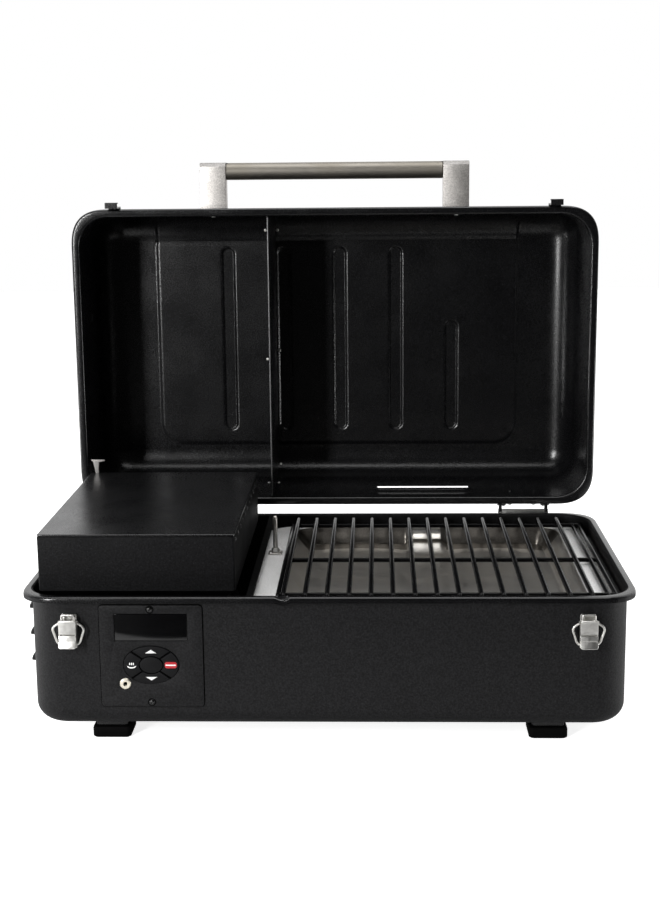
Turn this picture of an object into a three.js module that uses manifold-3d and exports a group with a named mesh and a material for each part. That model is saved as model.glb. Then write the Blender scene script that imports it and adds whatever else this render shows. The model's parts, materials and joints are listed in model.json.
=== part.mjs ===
// Portable pellet smoker grill, lid open, as an assembly of separate solids.
// Units are millimetres. +X is to the cook's right, +Y is to the back, +Z is up.
// Pieces are drawn from the centre of the tub's footprint on the ground. The whole is then
// moved forward so that the origin is under the middle of the open grill.
import * as THREE from 'three';
import { mergeVertices } from 'three/addons/utils/BufferGeometryUtils.js';
import Module from 'manifold-3d';

const wasm = await Module();
wasm.setup();

// ---------------------------------------------------------------- driving dimensions

const SHEET = 1.6; // pressed steel of the tub and the lid
const GAP = 0.3; // running gap between neighbouring pieces
const HALF_X = 312; // tub and lid walls, without the rim
const HALF_Y = 176;
const WALL_CORNER = 38; // plan corner radius of the walls
const RIM_OUT = 8; // how far both rims stand out of the walls
const RIM_FACE = 6; // height of the rims' turned lips

const TUB = { bottom: 22, top: 165, fillet: 27 };
const LID = { bottom: 165.5, top: 295.5, fillet: 35, draft: 3, padRise: 3, ribRise: 3 };
const HINGE = { y: 186, z: 175, x: 234.5, halfWidth: 31.5, pin: 2.2, knuckle: 3.7, sheet: 2 };

const MIDDLE_Y = 61; // middle of the open grill, measured back from the tub's centre
const DIVIDER_X = -80; // wall between the machinery bay and the cooking chamber
const HOPPER = { x0: -302, x1: -96, y0: -155.5, y1: 152, shoulder: 165, top: 217.5, lidTop: 224.5 };
const AUGER = { z: 58, tube: 22, bore: 20, blade: 18, shaft: 5, x0: -250, x1: 32, pitch: 36 };
const POT = { x: 70, radius: 36, wall: 2.5, bottom: 24, top: 95 };
const FAN = { x: -150, y0: 92, y1: 122, z: 66, radius: 34 };
const GRATE = { rods: 15, x0: -46.5, pitch: 22.8, rod: 2.8, z: 162, frameL: -52.5, frameR: 300 };
const TRAY = { x0: -78, x1: 306, y0: -168, y1: 171, z: 152, depth: 26, sheet: 1.2 };
const PANEL = { x0: -236, x1: -129, z0: 45, z1: 155, face: -177.8 };
const PAD = { x: -183, z: 90.8, rx: 28.8, rz: 20.35, innerX: 12, innerZ: 8.75, gap: 0.9 };
const DISPLAY = { x0: -220, x1: -145, z0: 117, z1: 145.5 };
const JACK = { x: -210.6, z: 70.5 };
const PANEL_SCREWS = [[-183, 150.6], [-183.5, 50.2]];
const HANDLE = { x: 150, halfPost: 16, z: 221, halfDepth: 10, reach: 238, bar: 10.4 };
const LATCH = { x: 267, halfPlate: 8, halfLever: 9, pivotY: -183, pivotZ: 138, bailZ: 115 };
const FOOT = { x: 232, y: 131, half: 20.5, halfDeep: 20, pad: 12.6 };
const LOUVRE = { heights: [149, 120, 91], y0: -130, y1: -60, rise: 12, out: 5 }; // air inlets, left wall
const DIP = { x0: -52.5, x1: -39.5, depth: 2.6 }; // pouring dip in the tub's front rim
const INLET = { x0: -271, x1: -239, z0: 59, z1: 86 }; // cut-out for the power inlet
const DRAIN = { x: 200, y: 90, bore: 5, hole: 6 }; // grease drain through the tray and the tub
const PROBE = { x: -67, y: 37, radius: 2.6, top: 197 };
const VENT = { x0: 52, x1: 168, z0: 212, z1: 229 }; // smoke outlet in the lid's rear wall

const CORNER_STEPS = 4; // facets in each rounded corner
const FILLET_STEPS = 4; // facets in each pressed fillet
const ROUND = 14; // facets in a turned piece

// ---------------------------------------------------------------- materials

function finish(color, roughness, metalness) {
  return new THREE.MeshStandardMaterial({ color, roughness, metalness });
}

const MATERIALS = {
  blackCoat: finish(0x1c1c1d, 0.55, 0.1),
  satinBlack: finish(0x161617, 0.4, 0.2),
  stainless: finish(0xa9a69f, 0.3, 0.9),
  zinc: finish(0xc9c8c4, 0.3, 0.9),
  enamel: finish(0x0e0e0f, 0.2, 0.1),
  plastic: finish(0x242425, 0.6, 0),
  glass: finish(0x060607, 0.1, 0),
  rubber: finish(0x121212, 0.8, 0),
  steel: finish(0x77746e, 0.45, 0.8),
  castIron: finish(0x2b2a29, 0.7, 0.5),
  brass: finish(0xe6dfd0, 0.35, 0.5),
};

// ---------------------------------------------------------------- solids

function solid(geometry) {
  const clean = geometry.clone();
  clean.deleteAttribute('normal');
  clean.deleteAttribute('uv');
  const merged = mergeVertices(clean, 1e-4);
  const mesh = new wasm.Mesh({
    numProp: 3,
    vertProperties: new Float32Array(merged.attributes.position.array),
    triVerts: new Uint32Array(merged.index.array),
  });
  return new wasm.Manifold(mesh);
}

function geometryOf(shape) {
  const mesh = shape.getMesh();
  const geometry = new THREE.BufferGeometry();
  geometry.setAttribute('position', new THREE.BufferAttribute(new Float32Array(mesh.vertProperties), 3));
  geometry.setIndex(new THREE.BufferAttribute(new Uint32Array(mesh.triVerts), 1));
  geometry.computeVertexNormals();
  return geometry;
}

function join(...shapes) {
  return shapes.reduce((all, next) => all.add(next));
}

function cut(shape, ...tools) {
  return tools.reduce((left, tool) => left.subtract(tool), shape);
}

function block(x0, x1, y0, y1, z0, z1) {
  const geometry = new THREE.BoxGeometry(x1 - x0, y1 - y0, z1 - z0);
  geometry.translate((x0 + x1) / 2, (y0 + y1) / 2, (z0 + z1) / 2);
  return solid(geometry);
}

// A geometry modelled along +Y, turned so that it runs along the named axis.
function alongAxis(geometry, axis) {
  if (axis === 'x') geometry.rotateZ(-Math.PI / 2);
  if (axis === 'z') geometry.rotateX(Math.PI / 2);
  return geometry;
}

// A cylinder from one place to another along an axis; the centre is the two other coordinates, in order.
function rod(axis, radius, from, to, centre, facets = ROUND) {
  const geometry = alongAxis(new THREE.CylinderGeometry(radius, radius, to - from, facets), axis);
  const middle = (from + to) / 2;
  const [a, b] = centre;
  const place = { x: [middle, a, b], y: [a, middle, b], z: [a, b, middle] }[axis];
  geometry.translate(...place);
  return solid(geometry);
}

// A THREE.Shape pulled straight along an axis. The shape's own axes are (y, z), (x, z) or (x, y).
function prism(shape, axis, from, to, curveSegments = 2) {
  const geometry = new THREE.ExtrudeGeometry(shape, { depth: to - from, bevelEnabled: false, curveSegments });
  geometry.translate(0, 0, from);
  const turn = new THREE.Matrix4();
  if (axis === 'x') turn.set(0, 0, 1, 0, 1, 0, 0, 0, 0, 1, 0, 0, 0, 0, 0, 1);
  if (axis === 'y') turn.set(1, 0, 0, 0, 0, 0, -1, 0, 0, 1, 0, 0, 0, 0, 0, 1);
  geometry.applyMatrix4(turn);
  if (axis === 'y') geometry.translate(0, from + to, 0);
  return solid(geometry);
}

function outline(points) {
  return new THREE.Shape(points.map(([a, b]) => new THREE.Vector2(a, b)));
}

function roundedRect(a0, a1, b0, b1, r) {
  const shape = new THREE.Shape();
  shape.moveTo(a0 + r, b0);
  shape.lineTo(a1 - r, b0);
  shape.absarc(a1 - r, b0 + r, r, -Math.PI / 2, 0);
  shape.lineTo(a1, b1 - r);
  shape.absarc(a1 - r, b1 - r, r, 0, Math.PI / 2);
  shape.lineTo(a0 + r, b1);
  shape.absarc(a0 + r, b1 - r, r, Math.PI / 2, Math.PI);
  shape.lineTo(a0, b0 + r);
  shape.absarc(a0 + r, b0 + r, r, Math.PI, 1.5 * Math.PI);
  return shape;
}

function ring(halfX, halfY, radius, z, cx = 0, cy = 0) {
  const r = Math.max(radius, 0.4);
  const [x0, y0] = [halfX - r, halfY - r];
  const corners = [[x0, y0], [-x0, y0], [-x0, -y0], [x0, -y0]];
  return corners.flatMap(([x, y], quarter) => Array.from({ length: CORNER_STEPS + 1 }, (_, i) => {
    const angle = (Math.PI / 2) * (quarter + i / CORNER_STEPS);
    return new THREE.Vector3(cx + x + r * Math.cos(angle), cy + y + r * Math.sin(angle), z);
  }));
}

// Skins a stack of rings that all have the same number of points, and closes both ends.
function loft(rings) {
  const count = rings[0].length;
  const points = rings.flat();
  for (const end of [rings[0], rings.at(-1)]) {
    const sum = end.reduce((total, p) => total.add(p), new THREE.Vector3());
    points.push(sum.divideScalar(count));
  }
  const triangles = [];
  for (let i = 0; i < count; i += 1) {
    const next = (i + 1) % count;
    for (let k = 0; k < rings.length - 1; k += 1) {
      const [low, high] = [k * count, (k + 1) * count];
      triangles.push(low + i, low + next, high + next, low + i, high + next, high + i);
    }
    const last = (rings.length - 1) * count;
    triangles.push(points.length - 2, next, i, points.length - 1, last + i, last + next);
  }
  const geometry = new THREE.BufferGeometry();
  const places = points.flatMap((p) => [p.x, p.y, p.z]);
  geometry.setAttribute('position', new THREE.Float32BufferAttribute(places, 3));
  geometry.setIndex(triangles);
  return solid(geometry);
}

// Rings of the rounded wall plan, one for each [offset out of the wall, height].
function wallRings(section) {
  return section.map(([out, z]) => ring(HALF_X + out, HALF_Y + out, WALL_CORNER + out, z));
}

function arc(steps, from, to, place) {
  return Array.from({ length: steps + 1 }, (_, i) => {
    const angle = THREE.MathUtils.degToRad(from + ((to - from) * i) / steps);
    return place(Math.cos(angle), Math.sin(angle));
  });
}

// A round bar bent through points that all lie in the plane square to flat.
function bentRod(points, radius, flat, facets) {
  const path = points.map((p) => new THREE.Vector3(...p));
  const across = new THREE.Vector3(...flat);
  return loft(path.map((p, i) => {
    const [before, after] = [path[Math.max(i - 1, 0)], path[Math.min(i + 1, path.length - 1)]];
    const along = after.clone().sub(before).normalize();
    const up = along.clone().cross(across);
    return arc(facets, 0, 360, (c, s) => p.clone()
      .addScaledVector(across, radius * c)
      .addScaledVector(up, radius * s)).slice(0, -1);
  }));
}

function lathe(profile, x, y, facets = ROUND) {
  const geometry = new THREE.LatheGeometry(profile.map(([r, z]) => new THREE.Vector2(r, z)), facets);
  geometry.rotateX(Math.PI / 2);
  geometry.scale(1, -1, 1);
  geometry.index.array.reverse();
  geometry.translate(x, y, 0);
  return solid(geometry);
}

// ---------------------------------------------------------------- the assembly

const grill = new THREE.Group();
const lidAssembly = new THREE.Group();
grill.add(lidAssembly);

function piece(name, material, shape, group = grill) {
  const mesh = new THREE.Mesh(geometryOf(shape), MATERIALS[material]);
  mesh.name = name;
  group.add(mesh);
}

// ---------------------------------------------------------------- tub

// Outside of the pressed tub from the floor up, as [offset, height]; inset shrinks it evenly.
function tubOutside(inset, top) {
  const centre = TUB.bottom + TUB.fillet;
  const radius = TUB.fillet - inset;
  const fillet = arc(FILLET_STEPS, -90, 0, (c, s) => [radius * c - TUB.fillet, centre + radius * s]);
  return [...fillet, [-inset, top]];
}

function rimSection(edge, face) {
  // Turned rim: flange out from the wall at edge, and a lip back to face.
  const inward = Math.sign(face - edge) * SHEET;
  return [
    [0, edge + inward], [RIM_OUT - SHEET, edge + inward], [RIM_OUT - SHEET, face],
    [RIM_OUT, face], [RIM_OUT, edge + inward], [RIM_OUT - 1, edge + 0.3 * inward],
    [RIM_OUT - 2.2, edge], [-0.4, edge], [-SHEET, edge + inward],
  ];
}

function tubShell() {
  const outside = tubOutside(0, TUB.top - SHEET);
  const inside = tubOutside(SHEET, TUB.top).slice(0, -1).reverse();
  return loft(wallRings([...outside.slice(0, -1), ...rimSection(TUB.top, TUB.top - RIM_FACE), ...inside]));
}

function tubCavity(inset, top) {
  return loft(wallRings(tubOutside(inset, top)));
}

function louvreProfile(inset, z) {
  // A hood that leans out of the wall and opens downwards.
  const shape = new THREE.Shape();
  const wall = -HALF_X + SHEET / 2;
  const outer = -HALF_X - LOUVRE.out + inset;
  shape.moveTo(wall, z);
  shape.quadraticCurveTo(outer, z - 1, outer, z - LOUVRE.rise);
  shape.lineTo(wall, z - LOUVRE.rise);
  return shape;
}

function baseTub() {
  let tub = tubShell();
  const skin = 1.3; // the steel is drawn thinner in the louvre hoods
  for (const z of LOUVRE.heights) {
    const hood = prism(louvreProfile(0, z), 'y', LOUVRE.y0, LOUVRE.y1);
    const hollow = prism(louvreProfile(skin, z - SHEET), 'y', LOUVRE.y0 + skin, LOUVRE.y1 - skin);
    const slot = block(-HALF_X - 0.4, -HALF_X + 4, LOUVRE.y0 + 3, LOUVRE.y1 - 3, z - 10, z - 3);
    tub = cut(tub.add(hood), hollow, slot);
  }
  return cut(
    tub,
    block(PANEL.x0 + 6, PANEL.x1 - 6, -HALF_Y - 5, -HALF_Y + 6, PANEL.z0 + 2, PANEL.z1 - 2),
    block(DIP.x0, DIP.x1, -HALF_Y - 20, -HALF_Y + 6, TUB.top - DIP.depth, TUB.top + 5),
    block(INLET.x0, INLET.x1, HALF_Y - 5, HALF_Y + 5, INLET.z0, INLET.z1),
    rod('z', DRAIN.hole, TUB.bottom - 4, TUB.bottom + 6, [DRAIN.x, DRAIN.y], 12),
  );
}

function dividerWall() {
  const slab = block(DIVIDER_X - 1, DIVIDER_X + 0.6, -HALF_Y, HALF_Y, 20, 160);
  const ledge = block(DIVIDER_X - 1, DIVIDER_X + 14, -150, 150, 148, 149.6);
  return cut(
    join(slab.intersect(tubCavity(SHEET + GAP, 170)), ledge),
    rod('x', AUGER.tube + GAP, DIVIDER_X - 5, DIVIDER_X + 5, [0, AUGER.z], 18),
    block(DIVIDER_X - 5, DIVIDER_X + 5, 96, 118, 34, 54),
  );
}

function dividerSeal() {
  return prism(roundedRect(DIVIDER_X - 3.6, DIVIDER_X + 3.2, -171, 171, 1.5), 'z', 160.3, 163.8, 2);
}

// ---------------------------------------------------------------- pellet hopper

function hopperBin() {
  const halfX = (HOPPER.x1 - HOPPER.x0) / 2;
  const halfY = (HOPPER.y1 - HOPPER.y0) / 2;
  const cx = (HOPPER.x0 + HOPPER.x1) / 2;
  const cy = (HOPPER.y0 + HOPPER.y1) / 2;
  const wall = 1.4;
  const chute = { x: -190, halfX: 26, halfY: 15, z: 80.4 };
  const outer = loft([
    ring(chute.halfX, chute.halfY, 3, chute.z, chute.x, 0),
    ring(halfX, halfY, 4, HOPPER.shoulder, cx, cy),
    ring(halfX, halfY, 4, HOPPER.top, cx, cy),
  ]);
  const inner = loft([
    ring(chute.halfX - wall, chute.halfY - wall, 2, chute.z - 1, chute.x, 0),
    ring(halfX - wall, halfY - wall, 3, HOPPER.shoulder + 1, cx, cy),
    ring(halfX - wall, halfY - wall, 3, HOPPER.top + 1, cx, cy),
  ]);
  const lugs = [HOPPER.x0 + 12, HOPPER.x1 - 26].map((x) => join(
    block(x, x + 14, HOPPER.y1 - 1, HOPPER.y1 + 7, HOPPER.top - 14, HOPPER.top - 1),
    rod('x', 4, x, x + 14, [HOPPER.y1 + 7, HOPPER.top - 1], 10),
  ));
  const bore = rod('x', 2 + GAP, HOPPER.x0, HOPPER.x1, [HOPPER.y1 + 7, HOPPER.top - 1], 10);
  return cut(join(outer, ...lugs), inner, bore);
}

function hopperLid() {
  const skirt = 1.2;
  const plate = prism(
    roundedRect(HOPPER.x0, HOPPER.x1, HOPPER.y0, HOPPER.y1, 4),
    'z', HOPPER.top + 0.8, HOPPER.lidTop, 1,
  );
  const hollow = prism(
    roundedRect(HOPPER.x0 + skirt, HOPPER.x1 - skirt, HOPPER.y0 + skirt, HOPPER.y1 - skirt, 3),
    'z', HOPPER.top - 1, HOPPER.lidTop - skirt, 1,
  );
  const lugs = [HOPPER.x0 + 28, HOPPER.x1 - 44].map((x) => join(
    block(x, x + 14, HOPPER.y1, HOPPER.y1 + 10, HOPPER.lidTop - 3.2, HOPPER.lidTop - skirt),
    block(x, x + 14, HOPPER.y1 + 4.5, HOPPER.y1 + 10, HOPPER.top - 1, HOPPER.lidTop - skirt),
    rod('x', 4, x, x + 14, [HOPPER.y1 + 7, HOPPER.top - 1], 10),
  ));
  const bore = rod('x', 2 + GAP, HOPPER.x0, HOPPER.x1, [HOPPER.y1 + 7, HOPPER.top - 1], 10);
  return cut(join(cut(plate, hollow), ...lugs), bore);
}

function hopperHingePin() {
  return rod('x', 2, HOPPER.x0 + 10, HOPPER.x1 - 10, [HOPPER.y1 + 7, HOPPER.top - 1], 10);
}

function fingerScreen() {
  // Guard grid that keeps fingers out of the auger: a frame with bars across it.
  const [x0, x1, y0, y1, z0, z1] = [-232, -156, -52, 52, 138, 141];
  const frame = cut(block(x0, x1, y0, y1, z0, z1), block(x0 + 4, x1 - 4, y0 + 4, y1 - 4, z0 - 1, z1 + 1));
  const pitch = (x1 - x0) / 4;
  const bars = [1, 2, 3].map((i) => block(x0 + pitch * i - 1, x0 + pitch * i + 1.5, y0, y1, z0, z1));
  return join(frame, ...bars);
}

// ---------------------------------------------------------------- auger, fire pot and fan

function augerTube() {
  const tube = rod('x', AUGER.tube, -254, POT.x - 30, [0, AUGER.z], 18);
  const bore = rod('x', AUGER.bore, -260, POT.x, [0, AUGER.z], 18);
  return cut(tube, bore, block(-215, -165, -13, 13, AUGER.z + 5, AUGER.z + 30));
}

function augerScrew() {
  // Slices across the shaft: a round with one lobe, which turns once in each pitch to make the blade.
  const turns = (AUGER.x1 - AUGER.x0) / AUGER.pitch;
  const steps = Math.round(turns * 8);
  const lobe = 11;
  const slice = (x, turn, tip) => {
    const corners = [[-lobe - 2, AUGER.shaft], [-lobe, tip], [lobe, tip], [lobe + 2, AUGER.shaft],
      [70, AUGER.shaft], [125, AUGER.shaft], [180, AUGER.shaft], [235, AUGER.shaft], [290, AUGER.shaft]];
    return corners.map(([degrees, r]) => {
      const angle = THREE.MathUtils.degToRad(degrees + turn);
      return new THREE.Vector3(x, r * Math.cos(angle), AUGER.z + r * Math.sin(angle));
    });
  };
  const blade = Array.from({ length: steps + 1 }, (_, i) => (
    slice(AUGER.x0 + 3 + ((AUGER.x1 - AUGER.x0 - 6) * i) / steps, (360 * turns * i) / steps, AUGER.blade)
  ));
  return loft([
    slice(AUGER.x0, 0, AUGER.shaft + 0.2), slice(AUGER.x0 + 2, 0, AUGER.shaft + 0.2), ...blade,
    slice(AUGER.x1, 360 * turns, AUGER.shaft + 0.2), slice(AUGER.x1 + 4, 360 * turns, AUGER.shaft + 0.2),
  ]);
}

function augerMotor() {
  return join(
    block(-301, -264, -27, 27, 34, 86),
    rod('x', 18, -264.5, -257, [0, AUGER.z]),
    rod('x', 4, -258, AUGER.x0 - 1, [0, AUGER.z], 12),
    rod('x', 12, -306, -300, [0, AUGER.z]),
  );
}

function firePot() {
  const { radius, wall, bottom, top } = POT;
  const pot = lathe([
    [0, bottom], [radius, bottom], [radius, top - 2.5], [radius + 7, top - 2.5], [radius + 7, top],
    [radius - wall, top], [radius - wall, bottom + 3], [0, bottom + 3],
  ], POT.x, 0, 16);
  const holes = [40, 80, 130, 230, 280, 320].map((degrees) => {
    const geometry = alongAxis(new THREE.CylinderGeometry(3, 3, 20, 6), 'x');
    geometry.translate(radius, 0, 0);
    geometry.rotateZ(THREE.MathUtils.degToRad(degrees));
    geometry.translate(POT.x, 0, 60);
    return solid(geometry);
  });
  return cut(
    pot,
    rod('x', AUGER.tube + GAP, POT.x - radius - 10, POT.x - 20, [0, AUGER.z], 18),
    rod('x', 5.4, POT.x + 20, POT.x + radius + 10, [0, 44], 12),
    ...holes,
  );
}

function igniterRod() {
  const rods = rod('x', 5, POT.x + 26, POT.x + 80, [0, 44], 12);
  return join(rods, rod('x', 9, POT.x + 42, POT.x + 45, [0, 44], 12));
}

function heatBaffle() {
  const [x0, x1, half, top] = [-34, 188, 112, 112];
  const plate = block(x0, x1, -half, half, top - 1.5, top);
  const skirts = [-1, 1].map((side) => block(x0, x1, side * half - 0.75, side * half + 0.75, top - 12, top));
  const legs = [x0 + 1, x1 - 13].flatMap((x) => [-1, 1].map((side) => (
    block(x, x + 12, side * half - 0.75, side * half + 0.75, 24, top)
  )));
  return join(plate, ...skirts, ...legs);
}

function fanHousing() {
  const { x, y0, y1, z, radius } = FAN;
  const outlet = block(x, DIVIDER_X - 3, y0, y1, z - radius, z - 10);
  const outer = join(rod('y', radius, y0, y1, [x, z], 18), outlet);
  const hollow = join(
    rod('y', radius - 1.5, y0 + 1.5, y1 - 1.5, [x, z], 18),
    block(x, DIVIDER_X, y0 + 1.5, y1 - 1.5, z - radius + 1.5, z - 11.5),
  );
  return cut(outer, hollow, rod('y', 18, y0 - 5, y0 + 5, [x, z]), rod('y', 4, y1 - 5, y1 + 5, [x, z], 12));
}

function fanImpeller() {
  const { x, y0, y1, z } = FAN;
  const disc = cut(
    join(rod('y', 27, y1 - 6, y1 - 4, [x, z], 18), rod('y', 6, y0 + 8, y1 - 4, [x, z], 12)),
    rod('y', 2.4, y0, y1, [x, z], 12),
  );
  const blades = Array.from({ length: 10 }, (_, i) => {
    const geometry = new THREE.BoxGeometry(9, y1 - y0 - 10.5, 1.4);
    geometry.rotateY(0.5);
    geometry.translate(21.5, 0, 0);
    geometry.rotateY((Math.PI * i) / 5);
    geometry.translate(x, (y0 + y1) / 2 - 0.5, z);
    return solid(geometry);
  });
  return join(disc, ...blades);
}

function fanMotor() {
  const { x, y0, y1, z } = FAN;
  return join(rod('y', 17, y1 + 0.5, y1 + 30, [x, z]), rod('y', 2, y0 + 10, y1 + 1, [x, z], 12));
}

// ---------------------------------------------------------------- cooking chamber

function dripTray() {
  const { x0, x1, y0, y1, z, depth, sheet } = TRAY;
  const [cx, cy] = [(x0 + x1) / 2, (y0 + y1) / 2];
  const well = (shrink, low) => loft([
    ring((x1 - x0) / 2 - 50 + shrink, (y1 - y0) / 2 - 20 + shrink, 30, z - depth + low, cx - 2, cy),
    ring((x1 - x0) / 2 - 27 + shrink, (y1 - y0) / 2 - 4 + shrink, 14, z + 0.1 * low, cx - 2, cy),
  ]);
  const flange = prism(roundedRect(x0, x1, y0, y1, 30), 'z', z - sheet, z, 3);
  const cavity = loft([
    ring((x1 - x0) / 2 - 50, (y1 - y0) / 2 - 20, 29, z - depth, cx - 2, cy),
    ring((x1 - x0) / 2 - 26, (y1 - y0) / 2 - 3.4, 13, z + 1, cx - 2, cy),
  ]);
  const drain = rod('z', DRAIN.hole + 1, z - depth - 5, z - depth + 5, [DRAIN.x, DRAIN.y]);
  return cut(join(flange, well(sheet, -sheet)), cavity, drain);
}

function greaseSpout() {
  const low = TUB.bottom + 6;
  const high = TRAY.z - TRAY.depth - 1.6;
  const { bore } = DRAIN;
  return lathe([
    [bore, low], [bore + 1.2, low], [bore + 1.2, high - 0.4], [bore + 7, high - 0.4],
    [bore + 7, high], [bore, high], [bore, low],
  ], DRAIN.x, DRAIN.y);
}

function cookingGrate() {
  const { rods, x0, pitch, rod: r, z, frameL, frameR } = GRATE;
  const reach = 162;
  const low = z - 1.6 * r;
  const bars = Array.from({ length: rods }, (_, i) => {
    const x = x0 + pitch * i;
    const end = [[-reach - 4, low - 1.5], [-reach - 2.6, z - 2], [-reach + 3, z]];
    const path = [...end, ...end.map(([y, h]) => [-y, h]).reverse()];
    return bentRod(path.map(([y, h]) => [x, y, h]), r, [1, 0, 0], 6);
  });
  const cross = [-148, -11, 148].map((y) => rod('x', r, frameL, frameR, [y, low], 6));
  const frames = [frameL, frameR, frameR - 8].map((x) => rod('y', r, -reach + 8, reach - 8, [x, low], 6));
  return join(...bars, ...cross, ...frames);
}

function trayRail() {
  // Angle rail on the right wall that carries the tray's edge.
  const angle = [[309.6, 134], [309.6, 150], [296, 150], [296, 148.6], [308.2, 148.6], [308.2, 134]];
  return prism(outline(angle), 'y', -120, 120);
}

function temperatureProbe() {
  const { x, y, radius, top } = PROBE;
  const foot = TRAY.z + 0.4;
  return join(
    rod('z', radius, foot, top, [x, y], 12),
    prism(roundedRect(x - 8, x + 8, y - 8, y + 8, 3), 'z', foot, foot + SHEET, 1),
    rod('z', 4, foot + 0.6, foot + 6.6, [x, y], 6),
  );
}

// ---------------------------------------------------------------- control panel

function ellipsePoints(rx, rz, from, to, steps) {
  return arc(steps, from, to, (c, s) => [PAD.x + rx * c, PAD.z + rz * s]);
}

function ellipseShape(rx, rz) {
  return outline(ellipsePoints(rx, rz, 0, 360, 24).slice(0, -1));
}

function controlPanel() {
  const [front, back] = [PANEL.face, PANEL.face + 1.5];
  const holes = PANEL_SCREWS.map(([x, z]) => rod('y', 1.9, front - 1, back + 1, [x, z], 12));
  return cut(
    prism(roundedRect(PANEL.x0, PANEL.x1, PANEL.z0, PANEL.z1, 5), 'y', front, back, 2),
    prism(ellipseShape(PAD.rx + GAP, PAD.rz + GAP), 'y', front - 1, back + 1),
    block(DISPLAY.x0 - GAP, DISPLAY.x1 + GAP, front - 1, back + 1, DISPLAY.z0 - GAP, DISPLAY.z1 + GAP),
    rod('y', 4.4, front - 1, back + 1, [JACK.x, JACK.z]),
    ...holes,
  );
}

function displayWindow() {
  return block(DISPLAY.x0, DISPLAY.x1, PANEL.face + 0.5, PANEL.face + 2.6, DISPLAY.z0, DISPLAY.z1);
}

// One quarter of the oval pad, between the outer and the inner oval.
function padButton(middle) {
  const spread = 42;
  const outer = ellipsePoints(PAD.rx, PAD.rz, middle - spread, middle + spread, 10);
  const [innerX, innerZ] = [PAD.innerX + PAD.gap, PAD.innerZ + PAD.gap];
  const inner = ellipsePoints(innerX, innerZ, middle + spread - 3, middle - spread + 3, 8);
  return prism(outline([...outer, ...inner]), 'y', PANEL.face - 0.8, PANEL.face + 3);
}

function centreButton() {
  return prism(ellipseShape(PAD.innerX, PAD.innerZ), 'y', PANEL.face - 1, PANEL.face + 3);
}

function probeJack() {
  const at = [JACK.x, JACK.z];
  return cut(
    join(rod('y', 6, PANEL.face - 1.6, PANEL.face - GAP, at), rod('y', 4, PANEL.face - 1, -170.5, at)),
    rod('y', 1.8, PANEL.face - 5, -172, at, 12),
  );
}

function panelScrew([x, z]) {
  const dome = new THREE.SphereGeometry(3.1, 12, 6, 0, 2 * Math.PI, 0, Math.PI);
  dome.scale(1, 0.45, 1);
  dome.translate(x, PANEL.face - GAP, z);
  const head = cut(solid(dome), block(x - 5, x + 5, PANEL.face - GAP, -160, z - 5, z + 5));
  const slot = block(x - 2.4, x + 2.4, PANEL.face - 5, PANEL.face - 1.2, z - 0.4, z + 0.4);
  return cut(join(head, rod('y', 1.5, PANEL.face - 0.5, -170.5, [x, z], 12)), slot);
}

function controllerBoard() {
  return prism(roundedRect(-228, -137, 55, 147, 3), 'y', -169.5, -152, 1);
}

function powerInlet() {
  const { x0, x1, z0, z1 } = INLET;
  const middle = (x0 + x1) / 2;
  const flange = prism(roundedRect(x0 - 4, x1 + 4, z0 - 4, z1 + 4, 3), 'y', HALF_Y + GAP, HALF_Y + 2.5, 1);
  const body = block(x0 + 1, x1 - 1, HALF_Y - 26, HALF_Y + 1, z0 + 1, z1 - 1);
  const socket = prism(roundedRect(x0 + 4, x1 - 4, z0 + 5, z1 - 5, 4), 'y', HALF_Y - 20, HALF_Y + 5, 1);
  const blades = [-7, 0, 7].map((dx) => (
    block(middle + dx - 1, middle + dx + 1, HALF_Y - 21, HALF_Y - 4, z0 + 10, z0 + 16)
  ));
  return join(cut(join(flange, body), socket), ...blades);
}

// ---------------------------------------------------------------- feet

function footPad(sx, sy) {
  const [x, y] = [sx * FOOT.x, sy * FOOT.y];
  return loft([
    ring(FOOT.half - 1, FOOT.halfDeep - 1, 4, 0, x, y),
    ring(FOOT.half, FOOT.halfDeep, 5, 1, x, y),
    ring(FOOT.half - 1, FOOT.halfDeep - 1, 5, FOOT.pad - 1, x, y),
    ring(FOOT.half - 2.5, FOOT.halfDeep - 2.5, 4, FOOT.pad, x, y),
  ]);
}

function footBracket(sx, sy) {
  const [x, y] = [sx * FOOT.x, sy * FOOT.y];
  const [low, high] = [FOOT.pad + GAP, TUB.bottom - GAP];
  const body = prism(roundedRect(x - 17, x + 17, y - 16, y + 16, 3), 'z', low, high, 1);
  return cut(body, block(x - 14.6, x + 14.6, y - 13.6, y + 30, low + 1.6, high - 1.6));
}

// ---------------------------------------------------------------- latches

function latchBase(side) {
  const x = side * LATCH.x;
  const { halfPlate, pivotY, pivotZ } = LATCH;
  const outline2d = roundedRect(x - halfPlate, x + halfPlate, 109, 146, 2);
  const plate = prism(outline2d, 'y', -HALF_Y - 1.8, -HALF_Y - GAP, 1);
  const ears = [-1, 1].map((hand) => {
    const inner = x + hand * 5;
    const outer = x + hand * 6.4;
    const [a, b] = [Math.min(inner, outer), Math.max(inner, outer)];
    return join(
      block(a, b, pivotY, -HALF_Y - 1, pivotZ - 5, pivotZ + 3),
      rod('x', 3, a, b, [pivotY, pivotZ], 8),
    );
  });
  return join(plate, ...ears, rod('x', 1.5, x - 9.6, x + 9.6, [pivotY, pivotZ], 8));
}

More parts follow.
